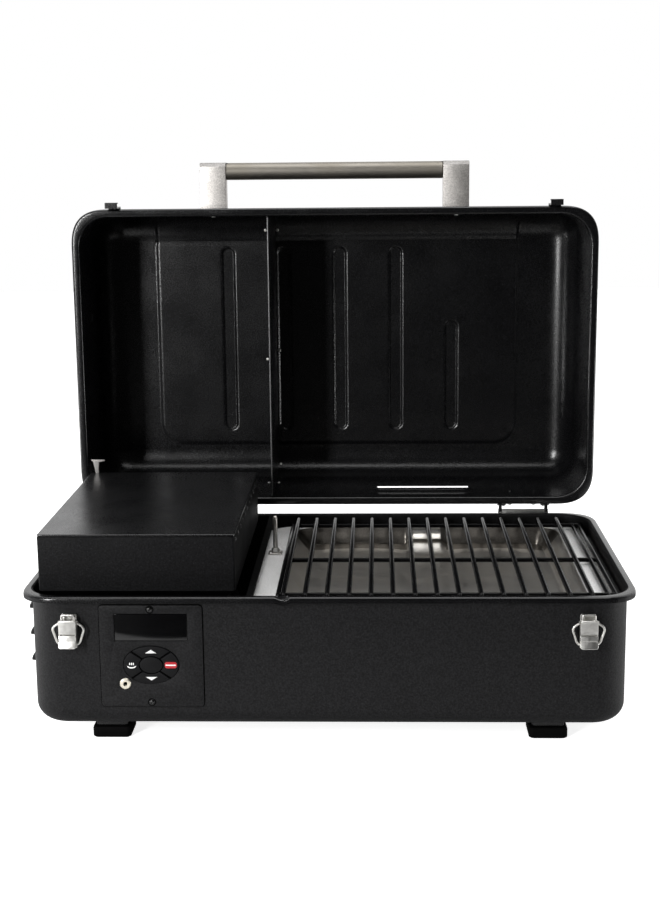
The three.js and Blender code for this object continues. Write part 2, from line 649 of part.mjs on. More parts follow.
function latchLever(side) {
  const x = side * LATCH.x;
  const { halfLever, pivotY, pivotZ, bailZ } = LATCH;
  // Side view of the pressed lever, as (y, z): a flat front that curls out at the grip.
  const front = outline([
    [-187.6, 141.5], [-189, 141.5], [-189.2, 116], [-190.4, 111.5], [-193.4, 107.5], [-192.4, 106.7],
    [-189.2, 110.6], [-187.8, 115.5],
  ]);
  const face = prism(front, 'x', x - halfLever, x + halfLever);
  const cheeks = [-1, 1].map((hand) => {
    const [a, b] = hand < 0 ? [x - halfLever, x - halfLever + 1.4] : [x + halfLever - 1.4, x + halfLever];
    const cheek = join(
      block(a, b, -188.6, pivotY + 2, pivotZ - 14, 141.5),
      block(a, b, -188.6, pivotY + 2.5, bailZ - 3, pivotZ - 13),
    );
    return cheek;
  });
  return cut(
    join(face, ...cheeks),
    rod('x', 1.5 + GAP, x - 20, x + 20, [pivotY, pivotZ], 8),
    rod('x', 1.2 + GAP, x - 20, x + 20, [pivotY, bailZ], 8),
    block(x - 7, x + 7, -195, -187, 125.6, 127.4),
  );
}

function latchBail(side) {
  const x = side * LATCH.x;
  const { pivotY: y, bailZ } = LATCH;
  const right = [[6.6, bailZ], [9.5, bailZ], [11.5, bailZ + 1.6], [14.4, 124], [16.4, 133], [15, 138.6],
    [11.6, 141.2], [9.8, 144], [7.6, 146]];
  const left = right.map(([dx, z]) => [-dx, z]).reverse();
  const path = [...right, ...left].map(([dx, z]) => [x + dx, y, z]);
  return bentRod(path, 1.2, [0, 1, 0], 6);
}

// ---------------------------------------------------------------- lid, modelled closed

// Outside of the lid from the top down, as [offset, height]; inset shrinks it evenly.
function lidOutside(inset, bottom, rise = 0) {
  const { top, fillet, draft } = LID;
  const centre = top - fillet;
  const radius = fillet - inset;
  const stretch = (radius + rise) / radius;
  const curve = arc(FILLET_STEPS, 90, 0, (c, s) => [
    radius * c - fillet - draft, centre + radius * s * stretch,
  ]);
  return [...curve, [-inset, bottom]];
}

function lidSkin(inset, bottom, rise) {
  return loft(wallRings([...lidOutside(inset, bottom, rise)].reverse()));
}

// The raised panel of the lid's top, which runs down into the front fillet.
function lidPad(inset) {
  const plan = roundedRect(-233 + inset, 233 - inset, -HALF_Y - 30, 129 - inset, 28);
  return lidSkin(inset, LID.bottom, LID.padRise).intersect(prism(plan, 'z', 200, 320, 2));
}

const RIBS = [[-141, -129], [-69, -129], [4, -129], [76.5, -129], [149, -33]]; // x, front end
const RIB_REAR = 111;

function lidRibs(inset) {
  const low = LID.top - 6;
  const high = LID.top + LID.padRise + LID.ribRise - inset;
  const shapes = RIBS.map(([x, front]) => {
    const [cy, halfY] = [(front + RIB_REAR) / 2, (RIB_REAR - front) / 2];
    const ends = [[9 - inset, low], [9 - inset, high - LID.ribRise], [6 - inset, high]];
    return loft(ends.map(([half, z]) => ring(half, halfY - 9 + half, half - 0.2, z, x, cy)));
  });
  return join(...shapes);
}

function lidShell() {
  const { bottom } = LID;
  const rim = loft(wallRings([
    [0, bottom + RIM_FACE + 3], [0, bottom + SHEET], [RIM_OUT - SHEET, bottom + SHEET],
    [RIM_OUT - SHEET, bottom + RIM_FACE], [RIM_OUT, bottom + RIM_FACE], [RIM_OUT, bottom + SHEET],
    [RIM_OUT - 0.8, bottom + 0.4], [RIM_OUT - 2, bottom], [-1, bottom],
  ].reverse()));
  const outside = join(lidSkin(0, bottom, 0), lidPad(0), lidRibs(0), rim);
  const inside = join(lidSkin(SHEET, bottom - 1, 0), lidPad(SHEET), lidRibs(SHEET));
  const outlet = block(VENT.x0, VENT.x1, HALF_Y - 9, HALF_Y + 1, VENT.z0, VENT.z1);
  return cut(outside, inside, outlet);
}

function lidDivider() {
  const slab = block(DIVIDER_X - 0.8, DIVIDER_X + 0.8, -HALF_Y, HALF_Y, LID.bottom + 0.5, LID.top);
  return slab.intersect(lidSkin(SHEET + 0.5, LID.bottom, 0));
}

function handlePost(side) {
  const [x0, x1] = [side * HANDLE.x - HANDLE.halfPost, side * HANDLE.x + HANDLE.halfPost];
  const [low, high] = [HANDLE.z - HANDLE.halfDepth, HANDLE.z + HANDLE.halfDepth];
  return prism(roundedRect(-HANDLE.reach, -HALF_Y - GAP, low, high, 2.5), 'x', x0, x1, 1);
}

function handleBar() {
  const half = HANDLE.x - HANDLE.halfPost - GAP;
  return rod('x', HANDLE.bar, -half, half, [-HANDLE.reach + HANDLE.bar + 0.4, HANDLE.z], 24);
}

function latchKeeper(side) {
  const x = side * LATCH.x;
  // Side view as (y, z): plate on the wall, a step over both rims, and a hooked end.
  const wall = -HALF_Y - GAP;
  const shape = outline([
    [wall, 200], [wall, 175], [-185.4, 175], [-185.4, 150.4], [-192.4, 150.4], [-192.4, 158],
    [-190.8, 158], [-190.8, 152], [-187, 152], [-187, 176.6], [wall - 1.6, 176.6], [wall - 1.6, 200],
  ]);
  return prism(shape, 'x', x - 7.5, x + 7.5);
}

// ---------------------------------------------------------------- lid hinges

const KNUCKLES = { outer: 17, gap: 0.5 }; // width of each outer knuckle and the gap beside it

function hingeSpan(side) {
  return [side * HINGE.x - HINGE.halfWidth, side * HINGE.x + HINGE.halfWidth];
}

function hingeBore(x0, x1) {
  return rod('x', HINGE.pin + GAP, x0 - 5, x1 + 5, [HINGE.y, HINGE.z], 10);
}

function hingeLeafBase(side) {
  const [x0, x1] = hingeSpan(side);
  const { sheet } = HINGE;
  const wall = HALF_Y + GAP;
  const rear = HALF_Y + RIM_OUT + 0.8; // runs up just behind the rim
  const strap = outline([
    [wall, 128], [wall + sheet, 128], [wall + sheet, 151], [rear + sheet, 151],
    [rear + sheet, 172], [rear, 172], [rear, 153], [wall, 153],
  ]);
  const barrel = rod('x', HINGE.knuckle, x0, x1, [HINGE.y, HINGE.z], 10);
  const web = block(x0, x1, rear, rear + sheet, 168, HINGE.z);
  const middle = block(x0 + KNUCKLES.outer, x1 - KNUCKLES.outer, 180, 195, 168, 180);
  return cut(join(prism(strap, 'x', x0, x1), web, barrel), middle, hingeBore(x0, x1));
}

function hingeLeafLid(side) {
  const [x0, x1] = hingeSpan(side);
  const { y, z, sheet } = HINGE;
  const wall = HALF_Y + GAP;
  const low = z + 4.2;
  const plate = prism(roundedRect(wall, wall + sheet, low, 204, 0.9), 'x', x0, x1, 1);
  const [a, b] = [x0 + KNUCKLES.outer + KNUCKLES.gap, x1 - KNUCKLES.outer - KNUCKLES.gap];
  const arm = prism(outline([
    [wall + 1, low], [y - 1, low], [y - 1, z], [y + 3.4, z], [y + 3.4, low + sheet], [wall + 1, low + sheet],
  ]), 'x', a, b);
  return cut(join(plate, arm, rod('x', HINGE.knuckle, a, b, [y, z], 10)), hingeBore(x0, x1));
}

function hingePin(side) {
  const [x0, x1] = hingeSpan(side);
  return join(
    rod('x', HINGE.pin, x0 - 1, x1 + 1, [HINGE.y, HINGE.z], 10),
    rod('x', HINGE.pin + 1, x0 - 2, x0 - GAP, [HINGE.y, HINGE.z], 10),
    rod('x', HINGE.pin + 1, x1 + GAP, x1 + 2, [HINGE.y, HINGE.z], 10),
  );
}

// ---------------------------------------------------------------- pieces of the grill

piece('base_tub', 'blackCoat', baseTub());
piece('divider_wall', 'satinBlack', dividerWall());
piece('divider_seal', 'rubber', dividerSeal());
piece('hopper_bin', 'blackCoat', hopperBin());
piece('hopper_lid', 'satinBlack', hopperLid());
piece('hopper_hinge_pin', 'steel', hopperHingePin());
piece('finger_screen', 'steel', fingerScreen());
piece('auger_tube', 'steel', augerTube());
piece('auger_screw', 'steel', augerScrew());
piece('auger_motor', 'steel', augerMotor());
piece('fire_pot', 'castIron', firePot());
piece('igniter_rod', 'stainless', igniterRod());
piece('heat_baffle', 'steel', heatBaffle());
piece('fan_housing', 'plastic', fanHousing());
piece('fan_impeller', 'plastic', fanImpeller());
piece('fan_motor', 'steel', fanMotor());
piece('drip_tray', 'stainless', dripTray());
piece('grease_spout', 'stainless', greaseSpout());
piece('tray_rail', 'satinBlack', trayRail());
piece('cooking_grate', 'enamel', cookingGrate());
piece('temperature_probe', 'stainless', temperatureProbe());
piece('control_panel', 'blackCoat', controlPanel());
piece('display_window', 'glass', displayWindow());
piece('controller_board', 'plastic', controllerBoard());
piece('button_right', 'plastic', padButton(0));
piece('button_up', 'plastic', padButton(90));
piece('button_left', 'plastic', padButton(180));
piece('button_down', 'plastic', padButton(270));
piece('button_centre', 'plastic', centreButton());
piece('probe_jack', 'brass', probeJack());
piece('panel_screw_top', 'zinc', panelScrew(PANEL_SCREWS[0]));
piece('panel_screw_bottom', 'zinc', panelScrew(PANEL_SCREWS[1]));
piece('power_inlet', 'plastic', powerInlet());

for (const [sx, side] of [[-1, 'left'], [1, 'right']]) {
  for (const [sy, end] of [[-1, 'front'], [1, 'rear']]) {
    piece(`foot_pad_${end}_${side}`, 'rubber', footPad(sx, sy));
    piece(`foot_bracket_${end}_${side}`, 'satinBlack', footBracket(sx, sy));
  }
  piece(`latch_base_${side}`, 'zinc', latchBase(sx));
  piece(`latch_lever_${side}`, 'zinc', latchLever(sx));
  piece(`latch_bail_${side}`, 'zinc', latchBail(sx));
  piece(`hinge_leaf_base_${side}`, 'steel', hingeLeafBase(sx));
  piece(`hinge_pin_${side}`, 'steel', hingePin(sx));
  piece(`hinge_leaf_lid_${side}`, 'steel', hingeLeafLid(sx), lidAssembly);
  piece(`latch_keeper_${side}`, 'satinBlack', latchKeeper(sx), lidAssembly);
  piece(`handle_post_${side}`, 'stainless', handlePost(sx), lidAssembly);
}

piece('lid_shell', 'blackCoat', lidShell(), lidAssembly);
piece('lid_divider', 'satinBlack', lidDivider(), lidAssembly);
piece('handle_bar', 'stainless', handleBar(), lidAssembly);

// The lid is modelled closed and swung back a quarter turn about its hinge axis.
const OPEN = -Math.PI / 2;
const toOpen = new THREE.Matrix4().makeTranslation(0, HINGE.y, HINGE.z)
  .multiply(new THREE.Matrix4().makeRotationX(OPEN))
  .multiply(new THREE.Matrix4().makeTranslation(0, -HINGE.y, -HINGE.z));
toOpen.decompose(lidAssembly.position, lidAssembly.quaternion, lidAssembly.scale);
grill.position.y = -MIDDLE_Y;
grill.updateMatrixWorld(true);

export default grill;
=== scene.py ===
"""Looks of a portable pellet smoker grill with its lid open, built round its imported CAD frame.

Metres, in the frame's own axes: +X to the cook's right, +Y to the back, +Z up. Places come from the
frame's boxes and joints. The lid's pressing is drawn as it is made, shut and flat, and is then swung
open about the hinge.
"""
import json
import math

import bmesh
import bpy
from mathutils import Matrix, Vector


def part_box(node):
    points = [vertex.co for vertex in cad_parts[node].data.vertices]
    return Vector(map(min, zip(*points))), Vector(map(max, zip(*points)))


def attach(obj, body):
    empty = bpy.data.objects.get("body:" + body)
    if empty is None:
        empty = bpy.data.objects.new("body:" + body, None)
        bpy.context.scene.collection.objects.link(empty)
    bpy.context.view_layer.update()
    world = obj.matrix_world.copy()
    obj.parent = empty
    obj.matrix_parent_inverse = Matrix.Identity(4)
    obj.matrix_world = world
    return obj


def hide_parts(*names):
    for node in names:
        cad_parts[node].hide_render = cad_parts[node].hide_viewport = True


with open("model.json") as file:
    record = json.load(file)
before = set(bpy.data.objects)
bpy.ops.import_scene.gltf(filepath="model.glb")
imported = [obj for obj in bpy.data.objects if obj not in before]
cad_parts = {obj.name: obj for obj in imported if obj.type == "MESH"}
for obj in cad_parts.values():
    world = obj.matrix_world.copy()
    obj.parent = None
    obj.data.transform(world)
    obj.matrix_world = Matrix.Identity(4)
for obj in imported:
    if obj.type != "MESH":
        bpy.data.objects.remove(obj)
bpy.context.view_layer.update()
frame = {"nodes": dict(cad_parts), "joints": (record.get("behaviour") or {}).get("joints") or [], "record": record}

# ---------------------------------------------------------------- dimensions

MM = 0.001
SHEET = 1.6 * MM  # pressed steel of the tub and the lid
WALL_CORNER = 38 * MM  # plan radius of the walls' corners
RIM_OUT = 8 * MM  # how far the rims stand out of the walls
RIM_FACE = 6 * MM  # height of the rims' turned lips
RIM_BEND = 1.2 * MM  # inner radius of the rims' bends
TUB_FILLET = 19 * MM  # outer radius between the tub's walls and its floor
LID_FILLET = 35 * MM  # outer radius between the lid's walls and its roof
LID_DRAFT = 3 * MM  # how much the lid's walls lean in, from the rim to the fillet
PRESSED = 6 * MM  # room for the pressings of the lid's top
PAD_DEPTH = 1.8 * MM  # how far the lid's roof panel is pressed inward
RIB_RISE = 2.2 * MM  # how far the ribs in that panel are pressed outward
CORNER_STEPS = 20  # facets in each rounded corner

X_AXIS = Vector((1, 0, 0))
Y_AXIS = Vector((0, 1, 0))
Z_AXIS = Vector((0, 0, 1))

tub_low, tub_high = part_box("base_tub")
HALF_X = (tub_high.x - tub_low.x) / 2 - RIM_OUT
HALF_Y = (tub_high.y - tub_low.y) / 2 - RIM_OUT
MID_Y = (tub_low.y + tub_high.y) / 2
FRONT = MID_Y - HALF_Y  # outer face of the tub's front wall
REAR = MID_Y + HALF_Y

HINGE = Vector(next(j["pos_m"] for j in frame["joints"] if j["name"] == "lid_hinge"))
OPEN = Matrix.Translation(HINGE) @ Matrix.Rotation(-math.pi / 2, 4, "X") @ Matrix.Translation(-HINGE)

lid_low, lid_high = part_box("lid_shell")
LID_BOTTOM = HINGE.z + lid_low.y - HINGE.y  # heights with the lid shut
LID_TOP = HINGE.z + lid_high.y - HINGE.y - PRESSED


# ---------------------------------------------------------------- shader helpers

class Shader:
    """A material's node tree, with a Principled surface that the functions below feed."""

    def __init__(self, name):
        self.material = bpy.data.materials.new(name)
        self.material.use_nodes = True
        self.tree = self.material.node_tree
        self.surface = self.tree.nodes["Principled BSDF"]
        self.place = self.node("ShaderNodeTexCoord").outputs["Object"]

    def feed(self, socket, value):
        if isinstance(value, bpy.types.NodeSocket):
            self.tree.links.new(value, socket)
        else:
            socket.default_value = value

    def node(self, kind, inputs=None, **settings):
        made = self.tree.nodes.new(kind)
        for key, value in settings.items():
            setattr(made, key, value)
        for key, value in (inputs or {}).items():
            self.feed(made.inputs[key], value)
        return made

    def set(self, **values):
        for key, value in values.items():
            self.feed(self.surface.inputs[key.replace("_", " ")], value)
        return self

    def noise(self, size, detail=3.0, stretch=(1, 1, 1)):
        """Noise with features of about this size in metres, drawn out along an axis by its stretch."""
        scale = [1 / s for s in stretch]
        place = self.node("ShaderNodeMapping", {"Vector": self.place, "Scale": scale}).outputs[0]
        inputs = {"Vector": place, "Scale": 1 / size, "Detail": detail}
        return self.node("ShaderNodeTexNoise", inputs).outputs[0]

    def remap(self, value, low, high, to_low, to_high):
        inputs = {"Value": value, "From Min": low, "From Max": high, "To Min": to_low, "To Max": to_high}
        return self.node("ShaderNodeMapRange", inputs).outputs[0]

    def math(self, operation, a, b):
        return self.node("ShaderNodeMath", {0: a, 1: b}, operation=operation).outputs[0]

    def mix(self, factor, a, b):
        """Colour a where the factor is 0 and b where it is 1."""
        inputs = {0: factor, 6: tuple(a) + (1,) if len(a) == 3 else a, 7: tuple(b) + (1,)}
        return self.node("ShaderNodeMix", inputs, data_type="RGBA").outputs[2]

    def over(self, factor, under, colour):
        """A colour laid over what another node gives."""
        made = self.node("ShaderNodeMix", {0: factor, 7: tuple(colour) + (1,)}, data_type="RGBA")
        self.tree.links.new(under, made.inputs[6])
        return made.outputs[2]

    def bump(self, height, depth, strength=1.0):
        inputs = {"Height": height, "Distance": depth, "Strength": strength}
        return self.node("ShaderNodeBump", inputs).outputs[0]


def shade(colour, factor):
    return tuple(min(1.0, c * factor) for c in colour)


# ---------------------------------------------------------------- finishes

def powder_coat(name, colour, grain, roughness, depth, flecks, sheen=0.4):
    """Baked powder paint: an orange-peel skin with a mottle and sparse lighter flecks."""
    s = Shader(name)
    fine = s.noise(grain, 4)
    mottle = s.noise(1.7 * grain, 3)
    smears = s.noise(60 * MM, 3)
    cells = s.node("ShaderNodeTexVoronoi", {"Vector": s.place, "Scale": 1 / (1.7 * grain)})
    chance = s.node("ShaderNodeSeparateColor", {"Color": cells.outputs["Color"]}).outputs[0]
    near = s.remap(cells.outputs["Distance"], 0.25, 0.5, 1, 0)
    fleck = s.math("MULTIPLY", near, s.remap(chance, 0.8, 0.86, 0, flecks))
    base = s.mix(s.remap(mottle, 0.36, 0.64, 0, 1), shade(colour, 0.45), shade(colour, 1.55))
    height = s.math("ADD", s.math("MULTIPLY", fine, 0.5), mottle)
    gloss = s.remap(smears, 0.3, 0.7, roughness - 0.03, roughness + 0.04)
    rough = s.math("ADD", s.remap(fine, 0.3, 0.7, -0.08, 0.08), gloss)
    s.set(Base_Color=s.over(fleck, base, shade(colour, 6)), Roughness=rough, Normal=s.bump(height, depth))
    s.set(Specular_IOR_Level=sheen)
    return s.material


def brushed_metal(name, colour, roughness, stretch, tint=0.12, coat=0.0):
    """Rolled or belt-ground metal: hair lines drawn out along one axis, over slow stains.

    The coat is the mirror-like part of its sheen, seen at a low angle."""
    s = Shader(name)
    hair = s.noise(0.35 * MM, 4, stretch)
    stain = s.noise(35 * MM, 3)
    lines = s.mix(s.remap(hair, 0.3, 0.7, 0, 1), shade(colour, 1 - tint), shade(colour, 1 + tint))
    warm = (colour[0] * 0.86, colour[1] * 0.82, colour[2] * 0.74)
    gloss = s.remap(stain, 0.3, 0.7, roughness - 0.04, roughness + 0.05)
    rough = s.math("ADD", s.remap(hair, 0.3, 0.7, -0.07, 0.07), gloss)
    s.set(Base_Color=s.over(s.remap(stain, 0.45, 0.75, 0, 0.4), lines, warm), Metallic=1.0, Roughness=rough)
    s.set(Normal=s.bump(hair, 0.02 * MM, 0.6), Coat_Weight=coat, Coat_Roughness=0.12)
    return s.material


def blasted_metal(name, colour, roughness):
    """Shot-blasted castings: an even satin grey with a coarse sparkle."""
    s = Shader(name)
    grit = s.noise(1.1 * MM, 3)
    slow = s.noise(12 * MM, 2)
    base = s.mix(s.remap(grit, 0.35, 0.65, 0, 1), shade(colour, 0.76), shade(colour, 1.2))
    gloss = s.remap(slow, 0.3, 0.7, roughness - 0.04, roughness + 0.04)
    s.set(Base_Color=base, Metallic=1.0, Roughness=gloss)
    s.set(Normal=s.bump(grit, 0.1 * MM, 0.7))
    return s.material


def plated_metal(name, colour, roughness):
    """Barrel-plated pressings: bright, with a soft mottle and small dings."""
    s = Shader(name)
    mottle = s.noise(3 * MM, 4)
    scuffs = s.noise(6 * MM, 2)
    base = s.mix(s.remap(mottle, 0.35, 0.65, 0, 1), shade(colour, 0.94), shade(colour, 1.04))
    gloss = s.remap(mottle, 0.3, 0.7, roughness - 0.05, roughness + 0.08)
    s.set(Base_Color=base, Metallic=1.0, Roughness=gloss)
    s.set(Normal=s.bump(scuffs, 0.02 * MM, 0.3))
    return s.material


def enamel(name, colour):
    """Fired porcelain: glassy, slightly wavy, with pinholes."""
    s = Shader(name)
    wave = s.noise(6 * MM, 2)
    pins = s.noise(0.7 * MM, 2)
    height = s.math("ADD", wave, s.remap(pins, 0.6, 0.8, 0, -0.3))
    s.set(Base_Color=s.mix(wave, shade(colour, 0.7), shade(colour, 1.4)), Normal=s.bump(height, 0.06 * MM))
    s.set(Roughness=s.remap(pins, 0.3, 0.7, 0.12, 0.2), Specular_IOR_Level=0.07)
    return s.material


def moulded(name, colour, roughness, grain, depth, specular=0.4):
    """Moulded plastic or rubber with a spark-eroded grain."""
    s = Shader(name)
    fine = s.noise(grain, 5)
    slow = s.noise(20 * MM, 2)
    s.set(Base_Color=s.mix(s.remap(fine, 0.3, 0.7, 0, 1), shade(colour, 0.8), shade(colour, 1.25)))
    s.set(Roughness=s.remap(slow, 0.3, 0.7, roughness - 0.05, roughness + 0.05), Normal=s.bump(fine, depth))
    s.set(Specular_IOR_Level=specular)
    return s.material


def dark_glass(name, colour):
    """The display's lens: glossy, with faint wiping streaks in its gloss."""
    s = Shader(name)
    wipe = s.noise(5 * MM, 3, (6, 1, 1))
    base = s.mix(wipe, shade(colour, 0.8), shade(colour, 1.2))
    s.set(Base_Color=base, Roughness=s.remap(wipe, 0.3, 0.7, 0.03, 0.09))
    return s.material


def casting(name, colour):
    """Sand-cast iron with a sooty, pitted skin."""
    s = Shader(name)
    sand = s.noise(1.2 * MM, 6)
    soot = s.noise(15 * MM, 4)
    base = s.mix(s.remap(soot, 0.35, 0.65, 0, 1), shade(colour, 0.5), shade(colour, 1.3))
    s.set(Base_Color=base, Metallic=0.7)
    s.set(Roughness=s.remap(sand, 0.3, 0.7, 0.55, 0.8), Normal=s.bump(sand, 0.3 * MM))
    return s.material


def print_ink(name, colour, roughness=0.5):
    """Screen-printed ink with a slightly uneven lay."""
    s = Shader(name)
    lay = s.noise(0.5 * MM, 3)
    base = s.mix(lay, shade(colour, 0.9), shade(colour, 1.05))
    s.set(Base_Color=base, Roughness=roughness, Normal=s.bump(lay, 0.02 * MM))
    return s.material


slots = {m["slot"]: tuple(m["base_color"]) for m in frame["record"]["materials"]}
ALONG_X, ALONG_Y, ALONG_Z = (30, 1, 1), (1, 30, 1), (1, 1, 30)
FINISHES = {
    "black_coat": powder_coat("black_coat", (0.0072, 0.0072, 0.0077), 1.1 * MM, 0.5, 0.2 * MM, 0.16, 0.16),
    # A darker copy of the black coat for the hopper's body: painted shade.
    "hopper_painted_shade_coat": powder_coat("hopper_painted_shade_coat", (0.0042, 0.0042, 0.0046), 1.2 * MM, 0.55, 0.24 * MM, 0.25, 0.08),
    "satin_black": powder_coat("satin_black", (0.004, 0.004, 0.0044), 1.0 * MM, 0.28, 0.05 * MM, 0.3, 0.5),
    "lid_coat": powder_coat("lid_coat", (0.003, 0.003, 0.0034), 1.1 * MM, 0.25, 0.1 * MM, 0.5, 0.45),
    # A darker, glossier copy of the black coat for the rims and the lid's inner studs: its darkness is painted shade.
    "rim_painted_shade_coat": powder_coat("rim_painted_shade_coat", (0.003, 0.003, 0.0034), 1.0 * MM, 0.22, 0.03 * MM, 0.3, 0.5),
    # A darker copy of the powder coat: painted shade on the tub's inner faces and the hopper's right side.
    "painted_shade_black": powder_coat("painted_shade_black", (0.002, 0.002, 0.0022), 1.5 * MM, 0.6, 0.1 * MM, 0.2, 0.1),
    "stainless": brushed_metal("stainless", slots["stainless"], 0.4, ALONG_Z),
    "post_metal": blasted_metal("post_metal", (0.58, 0.555, 0.53), 0.5),
    # A darker copy of the posts' metal: painted shade on the posts' upward faces; also the colour of the post spacers
    # and the hopper stop.
    "dark_metal_and_painted_shade": blasted_metal("dark_metal_and_painted_shade", (0.3, 0.29, 0.28), 0.5),
    # A much lighter copy of the tray's steel for its flange tops: painted light.
    "painted_light_flange_steel": blasted_metal("painted_light_flange_steel", (0.95, 0.94, 0.92), 0.62),
    # A dark copy of the tray's steel for its back wall: painted shade.
    "painted_shade_steel": blasted_metal("painted_shade_steel", (0.2, 0.185, 0.165), 0.35),
    # A mid grey for the lid divider's front edge: a painted highlight.
    "painted_highlight_grey": blasted_metal("painted_highlight_grey", (0.16, 0.16, 0.16), 0.5),
    "bar_stainless": brushed_metal("bar_stainless", (0.22, 0.205, 0.18), 0.5, ALONG_X, 0.14),
    "stainless_polished": brushed_metal("stainless_polished", (0.62, 0.6, 0.565), 0.4, ALONG_X, 0.08, 0.5),
    "bright_nickel": plated_metal("bright_nickel", (0.72, 0.71, 0.68), 0.36),
    "zinc": plated_metal("zinc", slots["zinc"], 0.34),
    "black_screw": plated_metal("black_screw", (0.06, 0.06, 0.06), 0.3),
    "steel": brushed_metal("steel", slots["steel"], 0.42, ALONG_Y),
    "jack_ring": plated_metal("jack_ring", slots["jack_ring"], 0.3),
    "enamel": enamel("enamel", (0.0025, 0.0025, 0.0027)),
    "black_plastic": moulded("black_plastic", (0.0045, 0.0045, 0.005), 0.5, 0.4 * MM, 0.02 * MM, 0.12),
    "rubber": moulded("rubber", (0.002, 0.002, 0.002), 0.75, 0.8 * MM, 0.04 * MM, 0.04),
    "dark_glass": dark_glass("dark_glass", (0.001, 0.001, 0.0012)),
    "cast_iron": casting("cast_iron", slots["cast_iron"]),
    "white_ink": print_ink("white_ink", (0.85, 0.85, 0.84)),
    "red_ink": print_ink("red_ink", (0.45, 0.012, 0.02), 0.35),
}


# ---------------------------------------------------------------- mesh helpers

def axes(x_axis, y_axis, origin):
    """The matrix that takes flat drawings (x, y, 0) to a plane with these axes through the origin point."""
    z_axis = x_axis.cross(y_axis)
    return Matrix.Translation(origin) @ Matrix((x_axis, y_axis, z_axis)).transposed().to_4x4()


def facing_front(y):
    return axes(X_AXIS, Z_AXIS, Vector((0, y, 0)))


def side_view(x):
    return axes(Y_AXIS, Z_AXIS, Vector((x, 0, 0)))


def new_mesh(points, faces):
    mesh = bpy.data.meshes.new("mesh")
    mesh.from_pydata([tuple(p) for p in points], [], faces)
    return mesh


def smoothed(mesh, crease=34):
    """Merges doubles, turns the faces outward and leaves only real creases sharp."""
    bm = bmesh.new()
    bm.from_mesh(mesh)
    bmesh.ops.remove_doubles(bm, verts=bm.verts, dist=2e-6)
    bmesh.ops.dissolve_degenerate(bm, edges=bm.edges, dist=1e-6)
    bmesh.ops.recalc_face_normals(bm, faces=bm.faces)
    bm.to_mesh(mesh)
    bm.free()
    for polygon in mesh.polygons:
        polygon.use_smooth = True
    mesh.set_sharp_from_angle(angle=math.radians(crease))
    return mesh


def modified(mesh, *modifiers):
    """The mesh after a stack of modifiers, each given as (type, settings)."""
    scratch = bpy.data.objects.new("scratch", mesh)
    bpy.context.scene.collection.objects.link(scratch)
    for kind, settings in modifiers:
        modifier = scratch.modifiers.new(kind, kind)
        for key, value in settings.items():
            setattr(modifier, key, value)
    graph = bpy.context.evaluated_depsgraph_get()
    result = bpy.data.meshes.new_from_object(scratch.evaluated_get(graph))
    bpy.data.objects.remove(scratch)
    return result


def thickened(mesh, thickness):
    """A sheet given its thickness on the side that its faces turn away from."""
    return modified(mesh, ("SOLIDIFY", {"thickness": thickness, "offset": -1, "use_even_offset": False}))


def carved(mesh, *cutters):
    """The mesh with each cutter mesh taken out of it."""
    tools = [bpy.data.objects.new("cutter", cutter) for cutter in cutters]
    for tool in tools:
        bpy.context.scene.collection.objects.link(tool)
    result = modified(mesh, *[("BOOLEAN", {"object": tool, "operation": "DIFFERENCE"}) for tool in tools])
    for tool in tools:
        bpy.data.objects.remove(tool)
    return result


def joined(*meshes):
    """One mesh made of several."""
    bm = bmesh.new()
    for mesh in meshes:
        bm.from_mesh(mesh)
    result = bpy.data.meshes.new("mesh")
    bm.to_mesh(result)
    bm.free()
    return result


def block(low, high, edge, segments=3):
    """A box with rounded edges."""
    low, high = Vector(low), Vector(high)
    bm = bmesh.new()
    bmesh.ops.create_cube(bm, size=1)
    bmesh.ops.scale(bm, verts=bm.verts, vec=high - low)
    bmesh.ops.translate(bm, verts=bm.verts, vec=(low + high) / 2)
    bmesh.ops.bevel(bm, geom=bm.edges[:], offset=edge, segments=segments, profile=0.5, affect="EDGES")
    mesh = bpy.data.meshes.new("mesh")
    bm.to_mesh(mesh)
    bm.free()
    return mesh


def rounded_rect(x0, x1, y0, y1, r, steps=8):
    """A rounded rectangle's outline, anticlockwise."""
    corners = [(x1 - r, y0 + r, -90), (x1 - r, y1 - r, 0), (x0 + r, y1 - r, 90), (x0 + r, y0 + r, 180)]
    points = []
    for cx, cy, start in corners:
        for i in range(steps + 1):
            angle = math.radians(start + 90 * i / steps)
            points.append((cx + r * math.cos(angle), cy + r * math.sin(angle)))
    return points


def ellipse(cx, cy, rx, ry, start=0, end=360, steps=64):
    angles = [math.radians(start + (end - start) * i / steps) for i in range(steps + (end - start < 360))]
    return [(cx + rx * math.cos(a), cy + ry * math.sin(a)) for a in angles]


def plate(loops, thickness, edge, place):
    """A flat plate cut to its first loop, with the other loops as holes and its edges rounded.

    The loops are drawn in the plane of place, and the plate's middle lies in that plane."""
    curve = bpy.data.curves.new("scratch", "CURVE")
    curve.dimensions = "2D"
    curve.fill_mode = "BOTH"
    curve.extrude = thickness / 2 - edge
    curve.bevel_depth = edge
    curve.bevel_resolution = 2
    curve.offset = -edge
    for loop in loops:
        spline = curve.splines.new("POLY")
        spline.points.add(len(loop) - 1)
        for point, (x, y) in zip(spline.points, loop):
            point.co = (x, y, 0, 1)
        spline.use_cyclic_u = True
    scratch = bpy.data.objects.new("scratch", curve)
    bpy.context.scene.collection.objects.link(scratch)
    graph = bpy.context.evaluated_depsgraph_get()
    mesh = bpy.data.meshes.new_from_object(scratch.evaluated_get(graph))
    bpy.data.objects.remove(scratch)
    mesh.transform(place)
    return mesh


